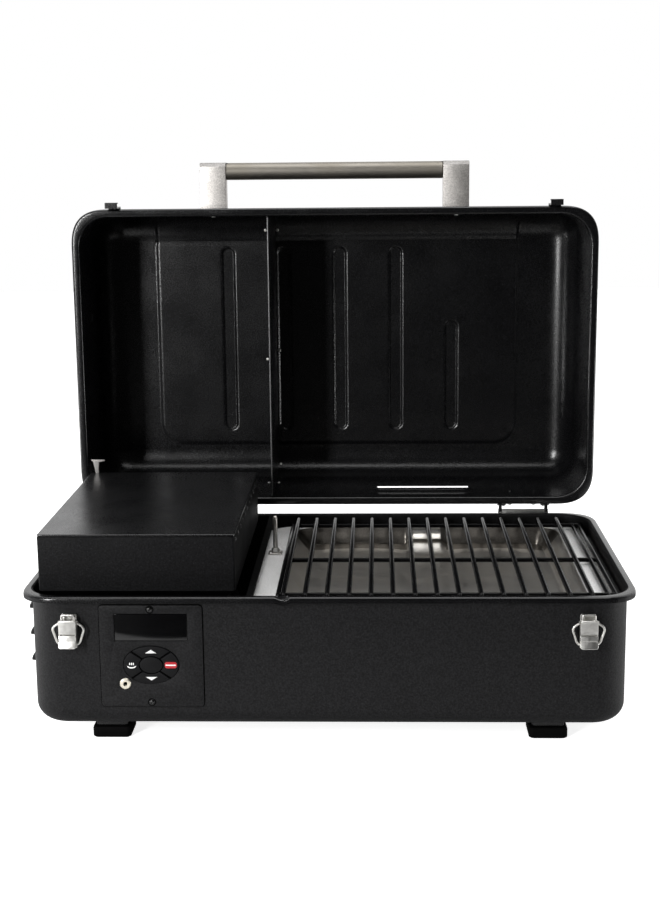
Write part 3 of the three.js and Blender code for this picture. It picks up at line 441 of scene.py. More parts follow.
def loft(rings, closed=False):
    """A skin over rings of equal count. Its ends are filled, or joined to each other if it is closed."""
    count = len(rings[0])
    points = [p for ring in rings for p in ring]
    total = len(rings)
    faces = []
    for k in range(total if closed else total - 1):
        a, b = k * count, (k + 1) % total * count
        for i in range(count):
            j = (i + 1) % count
            faces.append((a + i, a + j, b + j, b + i))
    if not closed:
        faces.append(tuple(range(count)))
        faces.append(tuple(range((total - 1) * count, total * count)))
    return new_mesh(points, faces)


def level_ring(x0, x1, y0, y1, r, z, steps=8):
    return [Vector((x, y, z)) for x, y in rounded_rect(x0, x1, y0, y1, r, steps)]


def turned(profile, place, steps=40):
    """A piece turned on a lathe: (radius, height) pairs about the z axis of place. It starts and ends on the axis."""
    rings = []
    for radius, height in profile[1:-1]:
        turn = [2 * math.pi * i / steps for i in range(steps)]
        rings.append([Vector((radius * math.cos(a), radius * math.sin(a), height)) for a in turn])
    mesh = loft(rings)
    mesh.transform(place)
    return mesh


def arc_path(points, radius, steps=6):
    """A polyline whose inner corners are turned into bends."""
    points = [Vector(p) for p in points]
    path = [points[0]]
    for before, corner, after in zip(points, points[1:], points[2:]):
        reach = min(radius, (before - corner).length * 0.49, (after - corner).length * 0.49)
        start = corner + (before - corner).normalized() * reach
        end = corner + (after - corner).normalized() * reach
        for i in range(steps + 1):
            t = i / steps
            path.append(start.lerp(corner, t).lerp(corner.lerp(end, t), t))
    path.append(points[-1])
    return path


def tube(path, radius, sides=14, closed=False):
    """A round bar along a path, with softly rounded ends."""
    path = [Vector(p) for p in path]
    stations = [(p, 1.0) for p in path]
    if not closed:
        start, end = (path[1] - path[0]).normalized(), (path[-2] - path[-1]).normalized()
        first = [(path[0] + start * radius * d, s) for d, s in ((0, 0.55), (0.3, 0.88))]
        last = [(path[-1] + end * radius * d, s) for d, s in ((0.3, 0.88), (0, 0.55))]
        stations = first + [(path[0] + start * radius * 0.8, 1.0)] + stations[1:-1]
        stations += [(path[-1] + end * radius * 0.8, 1.0)] + last
    centres = [p for p, _ in stations]
    count = len(centres)
    rings = []
    side = None
    for i, (centre, scale) in enumerate(stations):
        after = centres[(i + 1) % count] if closed else centres[min(i + 1, count - 1)]
        before = centres[i - 1] if closed else centres[max(i - 1, 0)]
        along = (after - before).normalized()
        if side is None:
            side = along.orthogonal().normalized()
        side = (side - along * side.dot(along)).normalized()
        other = along.cross(side)
        turn = [2 * math.pi * k / sides for k in range(sides)]
        rings.append([centre + (side * math.cos(a) + other * math.sin(a)) * radius * scale for a in turn])
    return loft(rings, closed)


def pressed_pan(lines_x, lines_y, section, relief=None, is_hole=None, steps=CORNER_STEPS):
    """A pressed sheet: a flat rectangle, and a section swept along its sides and turned at its corners.

    The section's (dx, dy, z) are the distances out of the rectangle along each axis and the height. relief gives how
    far a point moves along the sheet's outward normal, and faces whose middle is_hole are left out."""
    columns, rows = len(lines_x), len(lines_y)
    floor_z = section[0][2]
    up = 1 if section[-1][2] < floor_z else -1
    points = [Vector((x, y, floor_z)) for y in lines_y for x in lines_x]
    normals = [Vector((0, 0, up)) for _ in points]
    faces = []
    for r in range(rows - 1):
        for c in range(columns - 1):
            a = r * columns + c
            faces.append((a, a + 1, a + columns + 1, a + columns))
    border = []
    for quarter in range(4):
        outward = math.radians(-90 + 90 * quarter)
        side = {
            0: [c for c in range(columns)],
            1: [r * columns + columns - 1 for r in range(rows)],
            2: [(rows - 1) * columns + c for c in reversed(range(columns))],
            3: [r * columns for r in reversed(range(rows))],
        }[quarter]
        border += [(index, outward) for index in side]
        border += [(side[-1], outward + math.pi / 2 * i / steps) for i in range(1, steps)]
    loop = [index for index, _ in border]
    for k in range(1, len(section)):
        dx, dy, z = section[k]
        before, after = section[k - 1], section[min(k + 1, len(section) - 1)]
        run, rise = after[0] - before[0], after[2] - before[2]
        tilt = math.atan2(-up * rise, up * run) if up > 0 else math.atan2(rise, run)
        start = len(points)
        for index, angle in border:
            base = points[index]
            c, s = math.cos(angle), math.sin(angle)
            points.append(Vector((base.x + dx * c, base.y + dy * s, z)))
            normals.append(Vector((c * math.sin(tilt), s * math.sin(tilt), up * math.cos(tilt))))
        ring = list(range(start, len(points)))
        for i in range(len(border)):
            j = (i + 1) % len(border)
            face = (loop[j], loop[i], ring[i], ring[j]) if loop[i] != loop[j] else (loop[i], ring[i], ring[j])
            faces.append(face)
        loop = ring
    if is_hole:
        faces = [f for f in faces if not is_hole(sum((points[i] for i in f), Vector()) / len(f))]
    if relief:
        points = [p + n * relief(p) for p, n in zip(points, normals)]
    if up < 0:
        faces = [tuple(reversed(f)) for f in faces]
    return new_mesh(points, faces)


def bend(cx, cz, radius, start, end, steps):
    """Points of an arc in a section, as (distance out, height)."""
    angles = [math.radians(start + (end - start) * i / steps) for i in range(steps + 1)]
    return [(cx + radius * math.cos(a), cz + radius * math.sin(a)) for a in angles]


def even(section):
    """A section that is the same along both axes."""
    return [(d, d, z) for d, z in section]


def graded(low, high, coarse, fine_spans):
    """Grid lines from low to high: coarse, but with the stated step inside each (start, end, step) span."""
    lines = {round(low, 6), round(high, 6)}
    position = low
    while position < high - 1e-9:
        step = coarse
        for start, end, fine in fine_spans:
            if start - 1e-9 <= position < end - 1e-9:
                step = min(step, fine, end - position)
            elif position < start:
                step = min(step, start - position)
        position += step
        lines.add(round(min(position, high), 6))
    return sorted(lines)


def ramp(distance, width):
    """1 well inside a shape, 0 well outside, and a smooth step of this width at its edge."""
    t = min(1.0, max(0.0, 0.5 - distance / width))
    return t * t * (3 - 2 * t)


# ---------------------------------------------------------------- pieces

def piece(name, mesh, finish, body, *stands_for, crease=34):
    smoothed(mesh, crease)
    mesh.materials.clear()
    mesh.materials.append(FINISHES[finish])
    obj = bpy.data.objects.new(name, mesh)
    bpy.context.scene.collection.objects.link(obj)
    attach(obj, body)
    if stands_for:
        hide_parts(*stands_for)
    return obj


def second_finish(obj, finish, test):
    """Give the faces whose centre and direction pass the test another finish."""
    obj.data.materials.append(FINISHES[finish])
    for face in obj.data.polygons:
        if test(face.center, face.normal):
            face.material_index = len(obj.data.materials) - 1


def screw(name, at, out, radius, finish, body, *stands_for, height=None, place=None):
    """A button-head screw with a round socket, standing on a surface whose outward direction is out."""
    height = height or 0.55 * radius
    out = Vector(out).normalized()
    turn = Matrix.Translation(at) @ Z_AXIS.rotation_difference(out).to_matrix().to_4x4()
    profile = [
        (0, 0), (0.01 * radius, height * 0.35), (0.34 * radius, height * 0.35), (0.4 * radius, height),
        (0.62 * radius, height * 0.92), (0.86 * radius, height * 0.62), (radius, height * 0.15), (radius, 0),
        (0.01 * radius, 0), (0, 0),
    ]
    mesh = turned(profile, turn, 24)
    if place:
        mesh.transform(place)
    return piece(name, mesh, finish, body, *stands_for)


def rivet(name, at, out, radius, finish, body, place=None):
    """A domed rivet head."""
    out = Vector(out).normalized()
    turn = Matrix.Translation(at) @ Z_AXIS.rotation_difference(out).to_matrix().to_4x4()
    dome = [(radius * math.cos(a), 0.5 * radius * math.sin(a)) for a in (0, 0.35, 0.7, 1.05, 1.4)]
    mesh = turned([(0, 0), (radius, -0.1 * radius)] + dome + [(0, 0)], turn, 20)
    if place:
        mesh.transform(place)
    return piece(name, mesh, finish, body)


def refine(node, finish, edge=0.3 * MM):
    """A CAD node that stays: its edges are softened and it gets its finish."""
    obj = frame["nodes"][node]
    mesh = obj.data
    custom = mesh.attributes.get("custom_normal")
    if custom:
        mesh.attributes.remove(custom)
    mesh.materials.clear()
    mesh.materials.append(FINISHES[finish])
    for polygon in mesh.polygons:
        polygon.use_smooth = True
    weld = obj.modifiers.new("weld", "WELD")
    weld.merge_threshold = 2e-6
    bevel = obj.modifiers.new("edges", "BEVEL")
    bevel.width = edge
    bevel.segments = 2
    bevel.limit_method = "ANGLE"
    bevel.angle_limit = math.radians(35)
    bevel.harden_normals = True


# ---------------------------------------------------------------- tub

LOUVRE_TOPS = (149 * MM, 120 * MM, 91 * MM)
LOUVRE = {"front": MID_Y - 130 * MM, "rear": MID_Y - 60 * MM, "drop": 12 * MM, "out": 8 * MM}
RIM_DIP = {"x": -46 * MM, "half": 9 * MM, "depth": 2.6 * MM}  # pouring dip in the front rim


def rim_section(wall, edge, inward):
    """The turned rim: out from the wall below the edge, and back along the lip; inward is +1 or -1 in height."""
    reach = wall + RIM_OUT - SHEET
    level = edge + inward * SHEET
    root = bend(wall + RIM_BEND, level + inward * RIM_BEND, RIM_BEND, 180, 180 + inward * 90, 4)
    if inward < 0:
        root = bend(wall + RIM_BEND, level - RIM_BEND, RIM_BEND, 180, 90, 4)
    turn = bend(reach - RIM_BEND, level + inward * RIM_BEND, RIM_BEND, -inward * 90, 0, 4)
    return root + turn + [(reach, edge + inward * RIM_FACE)]


def square_corners(mesh):
    """Turn the rim round its corners more tightly than the wall below it, in the closed frame."""
    flat_x, flat_y = HALF_X - WALL_CORNER, HALF_Y - WALL_CORNER
    for vertex in mesh.vertices:
        u, v = abs(vertex.co.x) - flat_x, abs(vertex.co.y - MID_Y) - flat_y
        if u <= 0 or v <= 0:
            continue
        reach = math.hypot(u, v)
        out = min(1.0, max(0.0, (reach - WALL_CORNER) / (RIM_OUT - SHEET)))
        grow = 1 + 0.085 * out * (2 * u * v / reach**2) ** 2
        vertex.co.x = math.copysign(flat_x + u * grow, vertex.co.x)
        vertex.co.y = MID_Y + math.copysign(flat_y + v * grow, vertex.co.y - MID_Y)


def make_tub():
    low = tub_low.z
    top = tub_high.z
    flat_x, flat_y = HALF_X - WALL_CORNER, HALF_Y - WALL_CORNER
    vents = [z - offset for z in LOUVRE_TOPS for offset in (7 * MM, 11 * MM)]
    walls = sorted(vents + [55 * MM, 65 * MM, 80 * MM, 157 * MM])
    section = [(0, low)]
    section += bend(WALL_CORNER - TUB_FILLET, low + TUB_FILLET, TUB_FILLET, -90, 0, 14)
    section += [(WALL_CORNER, z) for z in walls]
    section += rim_section(WALL_CORNER, top, -1)
    louvre_span = [LOUVRE["front"] + 3 * MM, LOUVRE["rear"] - 3 * MM]
    dip = RIM_DIP["x"]
    lines_x = graded(-flat_x, flat_x, 30 * MM, [(dip - 12 * MM, dip + 12 * MM, 1.5 * MM)])
    lines_y = sorted(graded(MID_Y - flat_y, MID_Y + flat_y, 30 * MM, []) + louvre_span)

    def is_hole(p):
        beside = p.x < -HALF_X + 1 * MM and louvre_span[0] < p.y < louvre_span[1]
        return beside and any(z - 11 * MM < p.z < z - 7 * MM for z in LOUVRE_TOPS[1:])

    mesh = pressed_pan(lines_x, lines_y, even(section), None, is_hole)
    mesh = thickened(mesh, SHEET)
    square_corners(mesh)
    for vertex in mesh.vertices:
        if vertex.co.y < FRONT - 0.5 * MM and vertex.co.z > top - 9 * MM:
            from_dip = abs(vertex.co.x - dip) - 0.5 * RIM_DIP["half"]
            vertex.co.z -= RIM_DIP["depth"] * ramp(from_dip, RIM_DIP["half"])
    inlet_low, inlet_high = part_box("power_inlet")
    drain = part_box("grease_spout")
    middle = (drain[0] + drain[1]) / 2
    below = Matrix.Translation((middle.x, middle.y, low - 4 * MM))
    hole = turned([(0, 0), (6 * MM, 0), (6 * MM, 12 * MM), (0, 0)], below)
    margin = 4 * MM
    socket = block(
        (inlet_low.x + margin, REAR - 6 * MM, inlet_low.z + margin),
        (inlet_high.x - margin, REAR + 6 * MM, inlet_high.z - margin), 0.5 * MM,
    )
    centre_x, centre_z, reach_x, reach_z = key_field()
    opening = ellipse(centre_x, centre_z, reach_x + 1.5 * MM, reach_z + 1.5 * MM)
    behind_keys = plate([opening], 8 * MM, 0.1 * MM, facing_front(FRONT))
    mesh = carved(mesh, smoothed(hole), smoothed(socket), smoothed(behind_keys))
    tub = piece("tub", mesh, "black_coat", "grill_base", "base_tub")
    beyond = 0.6 * RIM_OUT

    def on_rim(centre, _):
        return abs(centre.x) > HALF_X + beyond or abs(centre.y - MID_Y) > HALF_Y + beyond or centre.z > top - SHEET

    def inside(centre, normal):
        out = Vector((centre.x, centre.y - MID_Y, 0))
        return normal.dot(out) < 0 or (normal.z > 0.5 and centre.z < top - 30 * MM)

    # The tub's rim gets the darker rim coat: painted shade.
    second_finish(tub, "rim_painted_shade_coat", on_rim)
    # The tub's inner faces get a darker coat than its outside: painted shade.
    second_finish(tub, "painted_shade_black", inside)


def make_louvre(number, top):
    """A pressed hood over an air slot, open at its lower edge."""
    across, down = 70, 10
    front, rear = LOUVRE["front"], LOUVRE["rear"]
    end = 3 * MM
    points = []
    for i in range(across + 1):
        y = front + (rear - front) * i / across
        from_end = min(y - front, rear - y)
        fade = math.sqrt(max(0.0, 1 - max(0.0, 1 - from_end / end) ** 2))
        for k in range(down + 1):
            t = k / down
            swell = math.sin(t * math.pi / 2) ** 0.8
            points.append((-HALF_X + 0.4 * MM - LOUVRE["out"] * swell * fade, y, top - LOUVRE["drop"] * t))
    faces = []
    for i in range(across):
        for k in range(down):
            a = i * (down + 1) + k
            faces.append((a, a + 1, a + down + 2, a + down + 1))
    mesh = thickened(new_mesh(points, [tuple(reversed(f)) for f in faces]), 1.2 * MM)
    piece(f"louvre_{number}", mesh, "black_coat", "grill_base")


def make_feet():
    for side in ("left", "right"):
        for end in ("front", "rear"):
            low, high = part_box(f"foot_pad_{end}_{side}")
            span = [(1.2, 0), (0.3, 0.8), (0, 2), (0, 10), (0.5, 11.4), (2.2, 12.6)]
            rings = []
            for inset, z in span:
                inset *= MM
                spans = (low.x + inset, high.x - inset, low.y + inset, high.y - inset)
                rings.append(level_ring(*spans, 5 * MM, low.z + z * MM))
            piece(f"rubber_foot_{end}_{side}", loft(rings), "rubber", "grill_base", f"foot_pad_{end}_{side}")
            refine(f"foot_bracket_{end}_{side}", "satin_black")


def make_rear_fittings():
    refine("power_inlet", "black_plastic", 0.5 * MM)
    low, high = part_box("power_inlet")
    for name, x in (("left", low.x + 3.4 * MM), ("right", high.x - 3.4 * MM)):
        screw(f"inlet_screw_{name}", (x, high.y, (low.z + high.z) / 2), Y_AXIS, 2 * MM, "zinc", "grill_base")
    for side in ("left", "right"):
        make_hinge(side)


def make_hinge(side):
    """A pair of leaves: the tub's reaches up behind the rims, and both carry narrow knuckles on the pin."""
    low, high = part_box(f"hinge_leaf_base_{side}")
    lid_low, lid_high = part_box(f"hinge_leaf_lid_{side}")
    x = (low.x + high.x) / 2
    width = high.x - low.x
    sheet = 2 * MM
    wall, rear = REAR + 0.3 * MM, REAR + RIM_OUT + 0.8 * MM
    top = tub_high.z + 4 * MM
    strap = [
        (wall, low.z), (wall + sheet, low.z), (wall + sheet, low.z + 23 * MM), (rear + sheet, low.z + 23 * MM),
        (rear + sheet, top), (rear, top), (rear, low.z + 25 * MM), (wall, low.z + 25 * MM),
    ]
    leaf = plate([strap], width, 0.4 * MM, side_view(x))
    piece(f"hinge_strap_{side}", leaf, "zinc", "grill_base", f"hinge_leaf_base_{side}")
    eye = 2.2 * MM
    ear = ellipse(HINGE.y, HINGE.z, eye, eye, -20, 160, 20)
    ear += [(rear + 0.2 * MM, top - 6 * MM), (rear + 1.8 * MM, top - 6 * MM)]
    lid_floor = lid_high.z - sheet
    arm = ellipse(HINGE.y, HINGE.z, eye, eye, 170, 370, 20)
    arm += [(HINGE.y + 4.6 * MM, lid_floor + 2.2 * MM), (HINGE.y + 1.4 * MM, lid_floor + 2.2 * MM)]
    knuckles, arms = [], []
    for hand in (-1, 1):
        at = x + hand * (width / 2 - 3 * MM)
        knuckles.append(plate([ear], 4 * MM, 0.4 * MM, side_view(at)))
        arms.append(plate([arm], 3 * MM, 0.4 * MM, side_view(at - hand * 4 * MM)))
        pin = tube([(at + hand * 4 * MM, HINGE.y, HINGE.z), (at - hand * 7 * MM, HINGE.y, HINGE.z)], 1.3 * MM)
        knuckles.append(pin)
    piece(f"hinge_knuckles_{side}", joined(*knuckles), "satin_black", "grill_base", f"hinge_pin_{side}")
    flat = axes(X_AXIS, Y_AXIS, Vector((0, 0, (lid_floor + lid_high.z) / 2)))
    outline = rounded_rect(lid_low.x, lid_high.x, lid_low.y, lid_high.y, 2 * MM)
    arms.append(plate([outline], lid_high.z - lid_floor, 0.3 * MM, flat))
    piece(f"hinge_lid_leaf_{side}", joined(*arms), "satin_black", "lid", f"hinge_leaf_lid_{side}")
    rivet_y = lid_high.y - 11 * MM
    inside = HINGE.z - (REAR - lid_wall(HINGE.z + rivet_y - HINGE.y) - HINGE.y)
    for name, dx in (("a", -15 * MM), ("b", 15 * MM)):
        at = (x + dx, wall + sheet, low.z + 11 * MM)
        screw(f"hinge_screw_{side}_{name}", at, Y_AXIS, 3 * MM, "zinc", "grill_base")
        at = (x + dx, rivet_y, lid_low.z)
        rivet(f"hinge_rivet_{side}_{name}", at, -Z_AXIS, 3 * MM, "zinc", "lid")
        rivet(f"hinge_stud_{side}_{name}", (x + dx, at[1], inside), Z_AXIS, 2.6 * MM, "rim_painted_shade_coat", "lid")


# ---------------------------------------------------------------- control panel

def key_field():
    """Middle and half size of the oval that the five keys fill: x, z, half width, half height."""
    low = Vector((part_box("button_left")[0].x, 0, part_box("button_down")[0].z))
    high = Vector((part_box("button_right")[1].x, 0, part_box("button_up")[1].z))
    return (low.x + high.x) / 2, (low.z + high.z) / 2, (high.x - low.x) / 2, (high.z - low.z) / 2


def make_panel():
    low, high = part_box("control_panel")
    face = low.y
    thick = high.y - low.y
    middle = facing_front((low.y + high.y) / 2)
    pad_low, pad_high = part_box("button_centre")
    centre_x, centre_z = (pad_low.x + pad_high.x) / 2, (pad_low.z + pad_high.z) / 2
    inner_x, inner_z = (pad_high.x - pad_low.x) / 2, (pad_high.z - pad_low.z) / 2
    outer_x = (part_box("button_right")[1].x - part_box("button_left")[0].x) / 2
    outer_z = (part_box("button_up")[1].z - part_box("button_down")[0].z) / 2
    window_low, window_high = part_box("display_window")
    gap = 0.5 * MM
    jack_low, jack_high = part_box("probe_jack")
    jack_x, jack_z = (jack_low.x + jack_high.x) / 2, (jack_low.z + jack_high.z) / 2

    outline = rounded_rect(low.x, high.x, low.z, high.z, 4 * MM)
    holes = [
        ellipse(centre_x, centre_z, outer_x + gap, outer_z + gap),
        rounded_rect(window_low.x - gap, window_high.x + gap, window_low.z - gap, window_high.z + gap, 1 * MM, 4),
        ellipse(jack_x, jack_z, 4.4 * MM, 4.4 * MM, steps=32),
    ]
    mesh = plate([outline] + holes, thick, 0.4 * MM, middle)
    piece("panel_plate", mesh, "black_coat", "grill_base", "control_panel")
    # A thin dark sheet just larger than the panel, set behind it, draws a dark line round the panel: a painted shadow.
    shadow = rounded_rect(low.x - 0.9 * MM, high.x + 0.9 * MM, low.z - 0.9 * MM, high.z + 0.9 * MM, 4.9 * MM)
    dark_outline = plate([shadow], 0.5 * MM, 0.1 * MM, facing_front(FRONT - 0.26 * MM))
    piece("panel_painted_shadow", dark_outline, "rubber", "grill_base")

    lens = rounded_rect(window_low.x, window_high.x, window_low.z, window_high.z, 0.8 * MM, 4)
    lens_depth = window_high.y - window_low.y
    piece("display_lens", plate([lens], lens_depth, 0.25 * MM, facing_front((window_low.y + window_high.y) / 2)),
          "dark_glass", "grill_base", "display_window")

    def sector(middle_angle):
        spread = 42.5
        outer = ellipse(centre_x, centre_z, outer_x, outer_z, middle_angle - spread, middle_angle + spread, 24)
        gap_x, gap_z = inner_x + 0.9 * MM, inner_z + 0.9 * MM
        start, end = middle_angle + spread - 2, middle_angle - spread + 2
        return outer + ellipse(centre_x, centre_z, gap_x, gap_z, start, end, 20)

    button_low, button_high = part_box("button_up")
    button_plane = facing_front((button_low.y + button_high.y) / 2)
    for name, angle in (("right", 0), ("up", 90), ("left", 180), ("down", 270)):
        mesh = plate([sector(angle)], button_high.y - button_low.y, 0.5 * MM, button_plane)
        piece(f"{name}_key", mesh, "black_plastic", f"button_{name}", f"button_{name}")
    mesh = plate([ellipse(centre_x, centre_z, inner_x, inner_z)], pad_high.y - pad_low.y, 0.6 * MM,
                 facing_front((pad_low.y + pad_high.y) / 2))
    piece("centre_key", mesh, "black_plastic", "button_centre", "button_centre")
    around, inside = [ellipse(centre_x, centre_z, outer_x + more, outer_z + more) for more in (4 * MM, 2.5 * MM)]
    floor = plate([around], 0.5 * MM, 0.1 * MM, facing_front(pad_high.y + 1.9 * MM))
    collar = plate([around, inside], 1.2 * MM, 0.1 * MM, facing_front(FRONT + SHEET + 0.7 * MM))
    piece("key_well", joined(floor, collar), "rubber", "grill_base")

    ink = facing_front(button_low.y - 0.02 * MM)

    def icon(name, loops, finish, body, plane=ink):
        piece(name, plate(loops, 0.14 * MM, 0.03 * MM, plane), finish, body)

    tip = 6 * MM
    for name, sign in (("up", 1), ("down", -1)):
        z = centre_z + sign * (outer_z + inner_z) / 2
        foot_z, tip_z = z - sign * 1.7 * MM, z + sign * 2.1 * MM
        flat = [(centre_x - tip, foot_z), (centre_x + tip, foot_z), (centre_x, tip_z)]
        icon(f"{name}_arrow", [flat[::sign]], "white_ink", f"button_{name}")
    heat_x = centre_x - (outer_x + inner_x) / 2
    for i in range(3):
        x = heat_x + (i - 1) * 1.9 * MM
        bar = rounded_rect(x - 0.55 * MM, x + 0.55 * MM, centre_z, centre_z + 2.6 * MM, 0.4 * MM, 3)
        icon(f"heat_bar_{i + 1}", [bar], "white_ink", "button_left")
    bowl = ellipse(heat_x, centre_z - 1 * MM, 4.6 * MM, 2.6 * MM, 180, 360, 16)
    bowl += ellipse(heat_x, centre_z - 1 * MM, 3.4 * MM, 1.3 * MM, 360, 180, 16)
    icon("heat_bowl", [bowl], "white_ink", "button_left")
    stop_x = centre_x + (outer_x + inner_x) / 2

    def around_stop(half_x, half_z, r, steps=8):
        return rounded_rect(stop_x - half_x, stop_x + half_x, centre_z - half_z, centre_z + half_z, r, steps)

    icon("stop_pill", [around_stop(6.2 * MM, 3.4 * MM, 2.2 * MM)], "red_ink", "button_right")
    over_pill = facing_front(button_low.y - 0.1 * MM)
    icon("stop_bar", [around_stop(5.4 * MM, 0.7 * MM, 0.6 * MM, 3)], "white_ink", "button_right", over_pill)

    ring = [
        (1.9 * MM, -3 * MM), (1.9 * MM, 0.6 * MM), (2.4 * MM, 1.1 * MM), (4.4 * MM, 1.3 * MM), (5.4 * MM, 1 * MM),
        (6 * MM, 0.2 * MM), (6 * MM, -0.2 * MM), (3.9 * MM, -0.3 * MM), (3.9 * MM, -5 * MM), (1.9 * MM, -5 * MM),
    ]
    place = axes(X_AXIS, Z_AXIS, Vector((jack_x, face - 0.3 * MM, jack_z)))
    piece("jack_socket", loft_turned_ring(ring, place), "jack_ring", "grill_base", "probe_jack")
    core = turned([(0, 0), (1.85 * MM, -2.2 * MM), (1.85 * MM, -1.8 * MM), (0, 0)], place, 24)
    piece("jack_bore", core, "rubber", "grill_base")
    for name in ("top", "bottom"):
        screw_low, screw_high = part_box(f"panel_screw_{name}")
        at = ((screw_low.x + screw_high.x) / 2, face, (screw_low.z + screw_high.z) / 2)
        radius = (screw_high.x - screw_low.x) / 2
        screw(f"panel_bolt_{name}", at, -Y_AXIS, radius, "black_screw", "grill_base", f"panel_screw_{name}")
        washer = turned([(0, 0), (4.2 * MM, 0), (4.2 * MM, 0.25 * MM), (0, 0)],
                        axes(X_AXIS, Z_AXIS, Vector((at[0], face + 0.05 * MM, at[2]))), 32)
        piece(f"panel_washer_{name}", washer, "rubber", "grill_base")


def loft_turned_ring(profile, place, steps=48):
    """A turned ring with an open bore: the profile closes on itself and doesn't touch the axis."""
    rings = []
    for i in range(steps):
        a = 2 * math.pi * i / steps
        rings.append([Vector((r * math.cos(a), r * math.sin(a), h)) for r, h in profile])
    mesh = loft(rings, closed=True)
    mesh.transform(place)
    return mesh


# ---------------------------------------------------------------- hopper

def make_hopper():
    lid_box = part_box("hopper_lid")
    bin_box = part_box("hopper_bin")
    x0, x1, y0 = lid_box[0].x, lid_box[1].x, lid_box[0].y
    y1 = bin_box[1].y - 11 * MM
    cover_top = lid_box[1].z
    seam = cover_top - 2.6 * MM
    shoulder = tub_high.z
    chute_x, chute_half_x, chute_half_y = -190 * MM, 26 * MM, 15 * MM
    wall = 1.4 * MM

    def funnel(inset, z, r):
        half_x, half_y = chute_half_x - inset, chute_half_y - inset
        return level_ring(chute_x - half_x, chute_x + half_x, MID_Y - half_y, MID_Y + half_y, r, z)

    def sides(inset, z, r):
        return level_ring(x0 + inset, x1 - inset, y0 + inset, y1 - inset, r, z)

    edge = 0.5 * MM
    corner = 2.5 * MM
    outer = [
        funnel(0, bin_box[0].z, 3 * MM), sides(0, shoulder - 1 * MM, corner), sides(0, shoulder + 1 * MM, corner),
        sides(0, seam - edge, corner), sides(0.3 * edge, seam - 0.3 * edge, corner), sides(edge, seam, corner),
    ]
    inner = [
        sides(wall, seam, 1.4 * MM), sides(wall, shoulder, 1.4 * MM), funnel(wall, bin_box[0].z, 2 * MM),
    ]
    shell = loft(outer + inner, closed=True)
    pin_low, pin_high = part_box("hopper_hinge_pin")
    pin_y, pin_z = (pin_low.y + pin_high.y) / 2, (pin_low.z + pin_high.z) / 2
    knuckle = ellipse(pin_y, pin_z, 4 * MM, 4 * MM, 150, -90, 20)
    knuckle += [(y1 - 0.6 * MM, pin_z - 13 * MM), (y1 - 0.6 * MM, pin_z - 2 * MM)]
    lugs = [plate([knuckle], 14 * MM, 0.4 * MM, side_view(x)) for x in (x0 + 19 * MM, x1 - 19 * MM)]
    # The hopper's body takes the darker coat: painted shade.
    body = piece("hopper_body", joined(smoothed(shell), *lugs), "hopper_painted_shade_coat", "grill_base", "hopper_bin")
    # The hopper's right side and its part inside the tub get a darker coat: painted shade.
    second_finish(body, "painted_shade_black", lambda centre, normal: normal.x > 0.5 or centre.z < shoulder)

    r = 0.9 * MM
    fold = 3 * MM
    skirt = seam + 0.5 * MM
    section = [(0, cover_top)] + bend(fold - r, cover_top - r, r, 90, 0, 5) + [(fold, skirt)]
    lines_x = graded(x0 + fold, x1 - fold, 20 * MM, [])
    lines_y = graded(y0 + fold, y1 - fold, 20 * MM, [])
    middle_x, middle_y = (x0 + x1) / 2, (y0 + y1) / 2

    def hollow(p):
        """The pressed plate sags slightly to its middle."""
        u, v = (p.x - middle_x) / (x1 - middle_x), (p.y - middle_y) / (y1 - middle_y)
        return -0.5 * MM * max(0, 1 - u * u) * max(0, 1 - v * v) if p.z > cover_top - r / 2 else 0

    cover = thickened(pressed_pan(lines_x, lines_y, even(section), hollow, steps=6), 1.2 * MM)
    arm = [(y1 - 4 * MM, cover_top - 2.6 * MM), (pin_y + 3.6 * MM, cover_top - 3 * MM)]
    arm += ellipse(pin_y, pin_z, 4 * MM, 4 * MM, 10, -190, 20)
    arm += [(pin_y - 4 * MM, cover_top - 4.6 * MM), (y1 - 4 * MM, cover_top - 4.2 * MM)]
    arms = [plate([arm], 14 * MM, 0.4 * MM, side_view(x)) for x in (x0 + 35 * MM, x1 - 37 * MM)]
    piece("hopper_cover_plate", joined(smoothed(cover), *arms), "satin_black", "hopper_cover", "hopper_lid")
    refine("hopper_hinge_pin", "zinc", 0.2 * MM)

    rivets = 11
    for i in range(rivets):
        y = y0 + (y1 - y0) * (i + 0.5) / rivets
        rivet(f"hopper_rivet_{i + 1}", (x1, y, seam - 6 * MM), X_AXIS, 2.6 * MM, "satin_black", "grill_base")

    clip_x, clip_z = x0 + 10 * MM, cover_top
    strap = [
        (clip_x - 9 * MM, clip_z + 17 * MM), (clip_x + 8 * MM, clip_z + 17 * MM), (clip_x + 8 * MM, clip_z + 15 * MM),
        (clip_x + 1 * MM, clip_z + 13.5 * MM), (clip_x + 0.4 * MM, clip_z - 0.5 * MM),
        (clip_x - 3.6 * MM, clip_z - 0.5 * MM), (clip_x - 6.4 * MM, clip_z + 14 * MM),
    ]
    mesh = plate([strap[::-1]], 1.6 * MM, 0.3 * MM, facing_front(y1 - 3 * MM))
    piece("hopper_stop", mesh, "dark_metal_and_painted_shade", "hopper_cover")


# ---------------------------------------------------------------- cooking chamber

